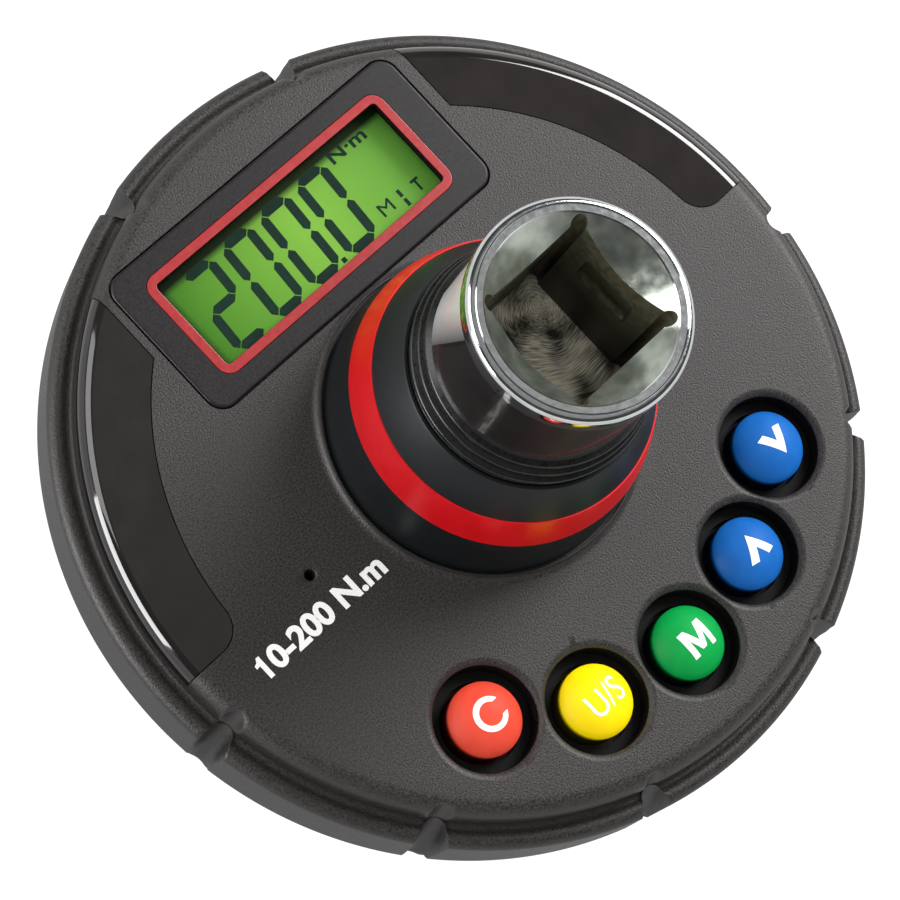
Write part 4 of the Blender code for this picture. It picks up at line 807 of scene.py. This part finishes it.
for name, angle in BUTTONS:
    place = polar(BUTTON_CIRCLE, angle)
    tube = turned("tube", [(0, -WALL / 2), (WELL_RADIUS + 1.2 * MM, -WALL / 2),
                           (WELL_RADIUS + 1.2 * MM, WELL_FLOOR - 1.0 * MM),
                           (0, WELL_FLOOR - 1.0 * MM)], 64, place)
    combine(cover, "UNION", tube)
    combine(cover, "DIFFERENCE", well_form(place))
for side in (1, -1):
    combine(cover, "DIFFERENCE", window_form("seat", side, 0.12 * MM, WINDOW_LOW, 1.5 * MM))
combine(cover, "DIFFERENCE", plate("bezel_seat", (BEZEL_SIZE[0] + 0.36 * MM, BEZEL_SIZE[1] + 0.36 * MM),
                                   BEZEL_CORNER + 0.18 * MM, BEZEL_SEAT, WALL, BEZEL_PLACE))
combine(cover, "DIFFERENCE", plate("display_hole", (BEZEL_SIZE[0] - 4 * MM, BEZEL_SIZE[1] - 2 * MM),
                                   0.0, -3 * WALL, WALL, BEZEL_PLACE))
combine(cover, "DIFFERENCE", turned("sound_hole", [(0, -2 * WALL), (0.6 * MM, -2 * WALL),
                                                   (0.6 * MM, -0.12 * MM), (0.78 * MM, 0.02 * MM),
                                                   (0.78 * MM, WALL), (0, WALL)], 32, SOUND_HOLE))
cover.data.materials.append(grained_abs)
cover.data.materials.append(well_shade_abs)
wells = [polar(BUTTON_CIRCLE, angle) for _, angle in BUTTONS]
# Faces down in the wells take the painted shade.
for face in cover.data.polygons:
    away = min(math.hypot(face.center.x - x, face.center.y - y) for x, y in wells)
    if away < WELL_RADIUS + 0.05 * MM and face.center.z < TOP - 0.3 * MM:
        face.material_index = 1
settle(finish(cover, grained_abs, 50), "gauge", "grained_abs", "top_cover")

# Gasket: a flat rubber ring clamped in the parting line, following the flutes.
GASKET_EDGE = RIM_RADIUS - 0.75 * MM
gasket = turned("gasket", [(SKIRT_RADIUS, BASE_TOP + 0.05 * MM), (GASKET_EDGE, BASE_TOP + 0.05 * MM),
                           (GASKET_EDGE, SPLIT - 0.05 * MM), (SKIRT_RADIUS, SPLIT - 0.05 * MM)],
                RIM_STEPS)
press_flutes(gasket, BASE_RIM)
settle(finish(gasket, nitrile), "gauge", "black_rubber", "housing_gasket")

# Light windows: two smoked acrylic mouldings that wrap the crown's shoulder, polished, snapped
# flush into their seats above the status lamps.
smoked_acrylic = mottle("smoked_acrylic", {"IOR": 1.49, "Coat Weight": 0.6, "Coat Roughness": 0.04},
                        ("#1a1716", "#211d1c"), (0.06, 0.08), 4.0 * MM, 0.002 * MM)
for name, side in (("window_right", 1), ("window_left", -1)):
    window = window_form(name, side, 0.0, WINDOW_LOW, 1.2 * MM)
    settle(finish(window, smoked_acrylic), "gauge", "smoked_acrylic", "light_" + name)

# Display bezel: a satin dark grey plate let into the cover, with a rebate for the red frame.
BEZEL_TOP = 0.15 * MM
FRAME_PLACE = (-0.55 * MM, 26.38 * MM)
FRAME_OUTER = (33.8 * MM, 13.05 * MM)
VIEW = (31.7 * MM, 10.95 * MM)
satin_grey = mottle("satin_painted_abs", {"Specular IOR Level": 0.35}, ("#1b1819", "#232021"),
                    (0.30, 0.42), 0.20 * MM, 0.006 * MM)
bezel = plate("bezel", BEZEL_SIZE, BEZEL_CORNER, -0.95 * MM, BEZEL_TOP, BEZEL_PLACE)
soften(bezel, 0.30 * MM, 4)
combine(bezel, "DIFFERENCE", plate("rebate", (FRAME_OUTER[0] + 0.1 * MM, FRAME_OUTER[1] + 0.1 * MM),
                                   1.65 * MM, BEZEL_TOP - 0.5 * MM, WALL, FRAME_PLACE))
combine(bezel, "DIFFERENCE", plate("view", VIEW, 0.5 * MM, -WALL, WALL, FRAME_PLACE))
# Painted shade: the walls of the opening are matt near-black, standing in for the shade down in the
# opening.
opening_shade = mottle("opening_shade_paint", {"Specular IOR Level": 0.1}, ("#040404", "#080808"),
                    (0.7, 0.8), 0.3 * MM, 0.0)


def blacken_opening(piece, coat):
    """Gives a plate its coat, and the near-black painted shade to the walls of the display's opening."""
    piece.data.materials.append(coat)
    piece.data.materials.append(opening_shade)
    for face in piece.data.polygons:
        x = abs(face.center.x - FRAME_PLACE[0])
        y = abs(face.center.y - FRAME_PLACE[1])
        in_view = x < VIEW[0] / 2 + 0.02 * MM and y < VIEW[1] / 2 + 0.02 * MM
        if in_view and abs(face.normal.z) < 0.5:
            face.material_index = 1
    return piece


settle(finish(blacken_opening(bezel, satin_grey), satin_grey), "gauge", "satin_bezel", "display_bezel")

# Display frame: a thin red painted surround in the bezel's rebate.
red_paint = mottle("red_painted_abs", {"Coat Weight": 0.2}, ("#96181c", "#9c1c20"),
                   (0.30, 0.38), 0.6 * MM, 0.001 * MM)
surround = plate("surround", FRAME_OUTER, 1.6 * MM, BEZEL_TOP - 0.4 * MM, BEZEL_TOP + 0.05 * MM,
                 FRAME_PLACE)
combine(surround, "DIFFERENCE", plate("view", VIEW, 0.5 * MM, -WALL, WALL, FRAME_PLACE))
soften(surround, 0.10 * MM, 2)
settle(finish(blacken_opening(surround, red_paint), red_paint), "gauge", "red_frame", "display_frame")

# Display: a green backlit liquid crystal cell behind a clear acrylic pane. The dark segments
# read 200.0, with the unit above and the mode letters beside them.
LCD_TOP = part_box("lcd_panel")[1].z - TOP
DIGIT_LEFTS = (-13.94 * MM, -8.46 * MM, -3.06 * MM, 2.30 * MM)
DIGIT_WIDTH = 4.4 * MM
DIGIT_LOW = 21.1 * MM
DIGIT_HIGH = 31.1 * MM
DIGIT_MIDDLE = 26.2 * MM
SEGMENT = 1.04 * MM
SLANT = math.tan(math.radians(4))
INK = 0.03 * MM
CAPITAL_SHARE = 0.73


def stroke(start, end, width, pointed=True):
    """One flat segment of the display between two points, its ends cut to points."""
    start, end = Vector(start), Vector(end)
    run = end - start
    middle = (start + end) / 2
    bar = plate("stroke", (run.length, width), 0.0, LCD_TOP, LCD_TOP + INK, middle,
                math.degrees(math.atan2(run.y, run.x)))
    if pointed:
        pick(bar)
        bpy.ops.object.mode_set(mode="EDIT")
        bpy.ops.mesh.select_mode(type="EDGE")
        bpy.ops.mesh.select_all(action="DESELECT")
        bpy.ops.object.mode_set(mode="OBJECT")
        for edge in bar.data.edges:
            a, b = (bar.data.vertices[i].co for i in edge.vertices)
            edge.select = abs(a.z - b.z) > INK / 2
        bpy.ops.object.mode_set(mode="EDIT")
        bpy.ops.mesh.bevel(offset=width * 0.48, segments=1)
        bpy.ops.object.mode_set(mode="OBJECT")
    return bar


def digit(left, lit):
    """A seven-segment digit: the lit ones of the bars a to g."""
    half = SEGMENT / 2
    gap = 0.10 * MM
    low, high, middle = DIGIT_LOW + half, DIGIT_HIGH - half, DIGIT_MIDDLE
    x0, x1 = left + half, left + DIGIT_WIDTH - half
    bars = {
        "a": ((x0 + gap, high), (x1 - gap, high)),
        "b": ((x1, high - gap), (x1, middle + gap)),
        "c": ((x1, middle - gap), (x1, low + gap)),
        "d": ((x0 + gap, low), (x1 - gap, low)),
        "e": ((x0, middle - gap), (x0, low + gap)),
        "f": ((x0, high - gap), (x0, middle + gap)),
        "g": ((x0 + gap, middle), (x1 - gap, middle)),
    }
    return [stroke(*bars[key], SEGMENT) for key in lit]


def joined(name, pieces):
    """Joins loose meshes into one piece."""
    pick(pieces[0])
    for piece in pieces[1:]:
        piece.select_set(True)
    bpy.ops.object.join()
    pieces[0].name = pieces[0].data.name = name
    return pieces[0]


def lettering(name, words, height, low, thick, place, bold=0.0):
    """Printed words as a thin closed mesh, upright along +Y, with capitals of the given height."""
    bpy.ops.object.select_all(action="DESELECT")
    bpy.ops.object.text_add(location=(*place, TOP + low + thick / 2))
    text = bpy.context.object.data
    text.body = words
    text.size = height / CAPITAL_SHARE
    text.extrude = thick / 2
    text.offset = bold
    bpy.ops.object.convert(target="MESH")
    piece = named(name)
    bpy.ops.object.transform_apply(location=True, rotation=True, scale=True)
    bpy.ops.object.mode_set(mode="EDIT")
    close_mesh(0.001 * MM)
    return piece


def stretch(piece, low, high):
    """Moves and scales a flat piece so that its plan fills the box from low to high."""
    xs = [v.co.x for v in piece.data.vertices]
    ys = [v.co.y for v in piece.data.vertices]
    for vertex in piece.data.vertices:
        vertex.co.x = low[0] + (vertex.co.x - min(xs)) * (high[0] - low[0]) / (max(xs) - min(xs))
        vertex.co.y = low[1] + (vertex.co.y - min(ys)) * (high[1] - low[1]) / (max(ys) - min(ys))
    return piece


strokes = []
for left, lit in zip(DIGIT_LEFTS, ("abged", "abcdef", "abcdef", "abcdef")):
    strokes += digit(left, lit)
segments = joined("lcd_segments", strokes)
for vertex in segments.data.vertices:
    vertex.co.x += (vertex.co.y - DIGIT_LOW) * SLANT
marks = [
    stroke((1.35 * MM, 21.55 * MM), (1.9 * MM, 21.55 * MM), 0.55 * MM, pointed=False),
    stretch(lettering("unit", "N·m", 1.4 * MM, LCD_TOP, INK, (0, 0), 0.04 * MM),
            (8.1 * MM, 29.75 * MM), (13.1 * MM, 31.25 * MM)),
    stretch(lettering("mode", "M", 1.5 * MM, LCD_TOP, INK, (0, 0)),
            (8.3 * MM, 22.1 * MM), (9.95 * MM, 23.6 * MM)),
    stroke((11.35 * MM, 21.4 * MM), (11.35 * MM, 22.3 * MM), 0.4 * MM, pointed=False),
    stroke((11.35 * MM, 22.6 * MM), (11.35 * MM, 23.5 * MM), 0.4 * MM, pointed=False),
    stretch(lettering("track", "T", 1.5 * MM, LCD_TOP, INK, (0, 0), 0.05 * MM),
            (13.05 * MM, 21.8 * MM), (14.1 * MM, 23.3 * MM)),
]
segments = joined("lcd_segments", [segments, *marks])
# Liquid crystal, switched on: dark bluish green, matt behind the polariser.
lcd_ink = mottle("lcd_segments", {"Specular IOR Level": 0.1}, ("#0f2a20", "#143226"),
                 (0.5, 0.6), 1.0 * MM, 0.0)
settle(finish(segments, lcd_ink), "gauge", "lcd_glass")

# Liquid crystal cell: yellow-green polariser lit from behind and darker at its ends. A painted shadow
# darkens its left and top edges, standing in for the shade of the frame's walls.
lcd_green = start_material("lcd_polariser", {"Roughness": 0.5, "Specular IOR Level": 0.1,
                                             "Emission Strength": 0.15})
tree = lcd_green.node_tree
place = object_axes(tree)
along = add_node(tree, "MapRange", {0: place["X"], 1: -17.0 * MM, 2: 16.4 * MM})
tint = add_ramp(tree, along.outputs[0], (0.0, "#356f17"), (1.0, "#4f8630"), (0.55, "#74a83c"))
# Painted shadow of the frame's walls along the cell's left and top edges.
left_wall_shadow = add_node(tree, "MapRange", {0: place["X"], 1: -16.1 * MM, 2: -14.9 * MM, 3: 0.05})
top_wall_shadow = add_node(tree, "MapRange", {0: place["Y"], 1: 31.2 * MM, 2: 30.4 * MM, 3: 0.05})
edges = calculate(tree, "MULTIPLY", left_wall_shadow.outputs[0], top_wall_shadow.outputs[0])
shown = add_node(tree, "VectorMath", {0: tint, "Scale": edges}, operation="SCALE")
tree.links.new(shown.outputs[0], tree.nodes["Principled BSDF"].inputs["Base Color"])
tree.links.new(shown.outputs[0], tree.nodes["Principled BSDF"].inputs["Emission Color"])
dress(lcd_green, "lcd_panel")
# Diffuser: milky acrylic behind the cell.
diffuser = mottle("milky_acrylic", {}, ("#dfe6d2", "#edf2e2"), (0.35, 0.5),
                  1.0 * MM, 0.002 * MM)
dress(diffuser, "lcd_backlight")

# Display pane: clear cast acrylic, which adds only its faint reflection.
pane = plate("pane", (33.7 * MM, 12.7 * MM), 0.45 * MM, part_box("display_lens")[0].z - TOP,
             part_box("display_lens")[1].z - TOP, BEZEL_PLACE)
soften(pane, 0.05 * MM, 2)
clear_acrylic = mottle("clear_acrylic", {"IOR": 1.49, "Alpha": 0.05},
                       ("#0c100c", "#101410"), (0.03, 0.05), 5.0 * MM, 0.0)
settle(finish(pane, clear_acrylic), "gauge", "clear_acrylic", "display_lens")

# Buttons: five domed caps moulded in coloured ABS, polished, each on a stem over its switch and
# printed with a white sign.
CAP_RADIUS = 3.9 * MM
CAP_EDGE = -0.5 * MM
CAP_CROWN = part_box("button_mode")[1].z - TOP
CAP_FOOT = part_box("button_mode")[0].z - TOP
CAP_FLANGE = WELL_RADIUS - 0.3 * MM
CAP_COLOURS = {"clear": ("#d5432f", "#db4936"), "units": ("#f2d200", "#f7da00"),
               "mode": ("#009440", "#009945"), "up": ("#0f5cab", "#1462b2"),
               "down": ("#0f5cab", "#1462b2")}
SLOTS = {"clear": "button_red", "units": "button_yellow", "mode": "button_green",
         "up": "button_blue", "down": "button_blue"}
SIGN_INK = 0.04 * MM
SIGN_TALL = 3.0 * MM
DOME_STEPS = 14


def cap_form(name, at, grow=0.0):
    """A domed cap on its stem, with the flange that keeps it in the well."""
    rise = CAP_CROWN - CAP_EDGE
    ball_radius = (CAP_RADIUS ** 2 + rise ** 2) / (2 * rise)
    dome = []
    for k in range(1, DOME_STEPS + 1):
        r = CAP_RADIUS * 0.93 * k / DOME_STEPS
        dome.append((r, CAP_CROWN + grow - ball_radius + math.sqrt(ball_radius ** 2 - r ** 2)))
    edge = rounded([dome[-1], (CAP_RADIUS + grow, CAP_EDGE - 0.1 * MM, 0.35 * MM),
                    (CAP_RADIUS + grow, CAP_FOOT)])
    line = [(0, CAP_CROWN + grow)] + dome + edge[1:-1] + [
        (CAP_RADIUS, CAP_FOOT + 0.8 * MM), (CAP_FLANGE, CAP_FOOT + 0.8 * MM), (CAP_FLANGE, CAP_FOOT),
        (0, CAP_FOOT)]
    return turned(name, line, 96, at)


def outlined(name, points, low, high, at=(0.0, 0.0)):
    """A flat form raised from an outline in millimetres: a disc whose corners move to its points."""
    bpy.ops.object.select_all(action="DESELECT")
    bpy.ops.mesh.primitive_circle_add(vertices=len(points), radius=1.0, fill_type="NGON")
    piece = named(name)
    for vertex, (x, y) in zip(piece.data.vertices, points):
        vertex.co = (at[0] + x * MM, at[1] + y * MM, TOP + low)
    bpy.ops.object.mode_set(mode="EDIT")
    bpy.ops.mesh.select_all(action="SELECT")
    bpy.ops.mesh.extrude_region_move(TRANSFORM_OT_translate={"value": (0.0, 0.0, high - low)})
    close_mesh()
    return piece


# Sign outlines in millimetres, about each cap's middle.
CHEVRON = ((0.0, 1.7), (-1.7, -1.15), (-0.75, -1.35), (0.0, 0.05), (0.75, -1.35), (1.7, -1.15))
LETTER_M = ((-1.6, -1.55), (-0.95, -1.55), (-0.95, 0.35), (-0.3, -1.2), (0.3, -1.2), (0.95, 0.35),
            (0.95, -1.55), (1.6, -1.55), (1.6, 1.55), (0.75, 1.55), (0.0, -0.25), (-0.75, 1.55),
            (-1.6, 1.55))

# Sign print: matt white ink with slightly ragged cover.
white_ink = mottle("white_ink", {}, ("#e9e9e6", "#f6f6f3"), (0.45, 0.6),
                   0.2 * MM, 0.002 * MM)
for name, angle in BUTTONS:
    at = polar(BUTTON_CIRCLE, angle)
    colours = CAP_COLOURS[name]
    # Moulded ABS: saturated colour with a soft satin sheen.
    cap_abs = mottle("satin_abs_" + name, {"Specular IOR Level": 0.15}, colours,
                     (0.46, 0.54), 1.5 * MM, 0.004 * MM)
    # The skirt stands in the well's shade.
    shade_downwards(cap_abs, CAP_EDGE - 0.9 * MM, CAP_EDGE - 0.1 * MM, 0.04)
    cap = cap_form("cap_" + name, at)
    settle(finish(cap, cap_abs), "button_%s_body" % name, SLOTS[name], "button_" + name)
    if name == "clear":
        centre = (at[0] + 0.25 * MM, at[1] + 0.1 * MM)
        sign = turned("sign", [(1.25 * MM, 0.0), (1.85 * MM, 0.0), (1.85 * MM, SIGN_TALL),
                               (1.25 * MM, SIGN_TALL)], 64, centre)
        combine(sign, "DIFFERENCE", plate("gap", (2.4 * MM, 1.6 * MM), 0.0, -MM, 4 * MM,
                                          (centre[0] + 1.7 * MM, centre[1])))
    elif name == "units":
        sign = stretch(lettering("sign", "U/S", 3 * MM, 0.0, SIGN_TALL, at),
                       (-13.4 * MM, -30.7 * MM), (-9.2 * MM, -28.0 * MM))
    elif name == "mode":
        sign = outlined("sign", LETTER_M, 0.0, SIGN_TALL, (0.3 * MM, -31.65 * MM))
    else:
        side = 1 if name == "up" else -1
        sign = outlined("sign", [(x, side * y) for x, y in CHEVRON], 0.0, SIGN_TALL,
                        (at[0] + 0.3 * MM, at[1]))
    combine(sign, "INTERSECT", cap_form("skin", at, SIGN_INK))
    combine(sign, "DIFFERENCE", cap_form("inner", at, -SIGN_INK))
    sign.name = sign.data.name = "sign_" + name
    settle(finish(sign, white_ink), "button_%s_body" % name, SLOTS[name])

# Range print: white tampo print on the top cover, saying what torque the gauge reads.
ONE = ((0.45, 0.0), (1.0, 0.0), (1.0, 2.5), (0.62, 2.5), (0.40, 2.12), (0.0, 1.95), (0.0, 1.58),
       (0.45, 1.65))
PRINT_INK = 0.02 * MM
range_print = joined("range_print", [
    outlined("one", ONE, 0.0, PRINT_INK, (-35.8 * MM, -5.2 * MM)),
    stretch(lettering("rest", "0-200 N.m", 2.5 * MM, 0.0, PRINT_INK, (0, 0), 0.13 * MM),
            (-34.2 * MM, -5.25 * MM), (-18.7 * MM, -2.65 * MM)),
])
settle(finish(range_print, white_ink), "gauge", "grained_abs")

# Collar: a pointed hollow cone moulded in blue-black ABS, dropped over the neck and pressed to
# the hub. A groove round it takes the red band.
COLLAR_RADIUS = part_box("neck_collar")[1].x
OGIVE = 28.0 * MM
BAND_LOW = 8.7 * MM
BAND_HIGH = 13.2 * MM
COLLAR_TOP = 18.2 * MM


def ogive(height, inset=0.0):
    """The collar's radius at a height above the housing's flat top."""
    return COLLAR_RADIUS * math.sqrt(1 - (height / OGIVE) ** 2) - inset


def ogive_line(low, high, count, inset=0.0):
    """The collar's line between two heights, in so many steps."""
    return [(ogive(low + (high - low) * k / count, inset), low + (high - low) * k / count)
            for k in range(count + 1)]


# Satin ABS, blue-black: fine even texture with a soft broad sheen.
blue_black = mottle("blue_black_abs", {"Specular IOR Level": 0.3},
                    ("#0c1113", "#12181b"), (0.34, 0.46), 0.18 * MM, 0.006 * MM)
mouth = NECK_RADIUS + 1.5 * MM
collar_line = ogive_line(0.3 * MM, BAND_LOW - 0.05 * MM, 12)
collar_line += [(ogive(BAND_LOW, 0.8 * MM), BAND_LOW - 0.05 * MM),
                (ogive(BAND_HIGH, 0.8 * MM), BAND_HIGH + 0.05 * MM)]
collar_line += ogive_line(BAND_HIGH + 0.05 * MM, COLLAR_TOP - 0.35 * MM, 8)
collar_line += rounded([collar_line[-1], (ogive(COLLAR_TOP), COLLAR_TOP, 0.12 * MM),
                        (mouth - 0.05 * MM, COLLAR_TOP + 0.02 * MM)])[1:]
collar_line += [(mouth - 0.05 * MM, BAND_HIGH + 1.1 * MM)]
collar_line += ogive_line(BAND_HIGH, 0.3 * MM, 8, 2.2 * MM)
collar = turned("collar", collar_line, SHAFT_STEPS)
settle(finish(collar, blue_black), "gauge", "collar_plastic", "neck_collar")

# Red band: a gloss red ring moulded in soft PVC, stretched into the collar's groove.
gloss_red = mottle("gloss_pvc", {"Specular IOR Level": 0.3, "Coat Weight": 0.3,
                                 "Coat Roughness": 0.2},
                   ("#dc0010", "#e30013"), (0.34, 0.42), 2.0 * MM, 0.005 * MM)
band_line = ogive_line(BAND_LOW, BAND_HIGH, 10, -0.12 * MM)
band_line += ogive_line(BAND_HIGH, BAND_LOW, 2, 0.7 * MM)
band = turned("band", band_line, SHAFT_STEPS)
settle(finish(band, gloss_red), "gauge", "red_band", "red_band")

# Neck seal: a sleeve of black rubber between collar and neck, with three shrinking ridges.
RIDGES = ((12.35 * MM, 19.25 * MM), (11.95 * MM, 20.55 * MM), (11.55 * MM, 21.80 * MM))
SEAL_IN = NECK_RADIUS + 0.10 * MM
glossy_rubber = mottle("black_silicone", {}, ("#0e0e0f", "#171718"), (0.24, 0.34),
                       0.5 * MM, 0.006 * MM)
seal_line = [(SEAL_IN, 15.5 * MM), (mouth - 0.15 * MM, 15.5 * MM),
             (mouth - 0.15 * MM, 18.55 * MM, 0.10 * MM)]
for crest, level in RIDGES:
    seal_line += [(crest - 0.75 * MM, level - 0.62 * MM, 0.10 * MM), (crest, level - 0.40 * MM, 0.28 * MM),
                  (crest, level + 0.30 * MM, 0.28 * MM)]
seal_line += [(SEAL_IN, 22.5 * MM)]
neck_seal = turned("seal", rounded(seal_line), SHAFT_STEPS)
settle(finish(neck_seal, glossy_rubber), "gauge", "black_rubber", "neck_seal")

# Neck wrap: a glossy black film wrapped round the neck, with a white field where it starts.
WRAP_LOW = 22.4 * MM
WRAP_HIGH = 33.1 * MM
WRAP_IN = NECK_RADIUS + 0.02 * MM
WRAP_OUT = NECK_RADIUS + 0.10 * MM
wrap = turned("neck_wrap", [(WRAP_IN, WRAP_LOW), (WRAP_OUT, WRAP_LOW), (WRAP_OUT, WRAP_HIGH),
                            (WRAP_IN, WRAP_HIGH)], SHAFT_STEPS)
black_film = mottle("black_vinyl_film", {"Coat Weight": 0.6, "Coat Roughness": 0.06},
                    ("#1c1a1a", "#242121"), (0.18, 0.26), 3.0 * MM, 0.004 * MM)
# White field: white on the film between two slanting edges, fading to grey towards the second one.
tree = black_film.node_tree
shader = tree.nodes["Principled BSDF"]
black_print = shader.inputs["Base Color"].links[0].from_socket
place = object_axes(tree)
angle = calculate(tree, "ARCTAN2", place["Y"], place["X"])
edge = add_node(tree, "MapRange", {0: place["Z"], 1: TOP + WRAP_LOW, 2: TOP + WRAP_HIGH,
                                   3: math.radians(137), 4: math.radians(152)})
short = calculate(tree, "SUBTRACT", edge.outputs[0], angle)
near = add_node(tree, "MapRange", {0: short, 1: 0.0, 2: 0.3})
fade = add_ramp(tree, near.outputs[0], (0.0, "#6e6e6e"), (1.0, "#ffffff"))
begun = calculate(tree, "GREATER_THAN", angle, math.radians(108))
not_ended = calculate(tree, "GREATER_THAN", short, 0.0)
in_field = calculate(tree, "MULTIPLY", begun, not_ended)
film_colour = add_node(tree, "Mix", {0: in_field, 6: black_print, 7: fade},
                       data_type="RGBA")
tree.links.new(film_colour.outputs[2], shader.inputs["Base Color"])
settle(finish(wrap, black_film), "gauge", "black_moulding")
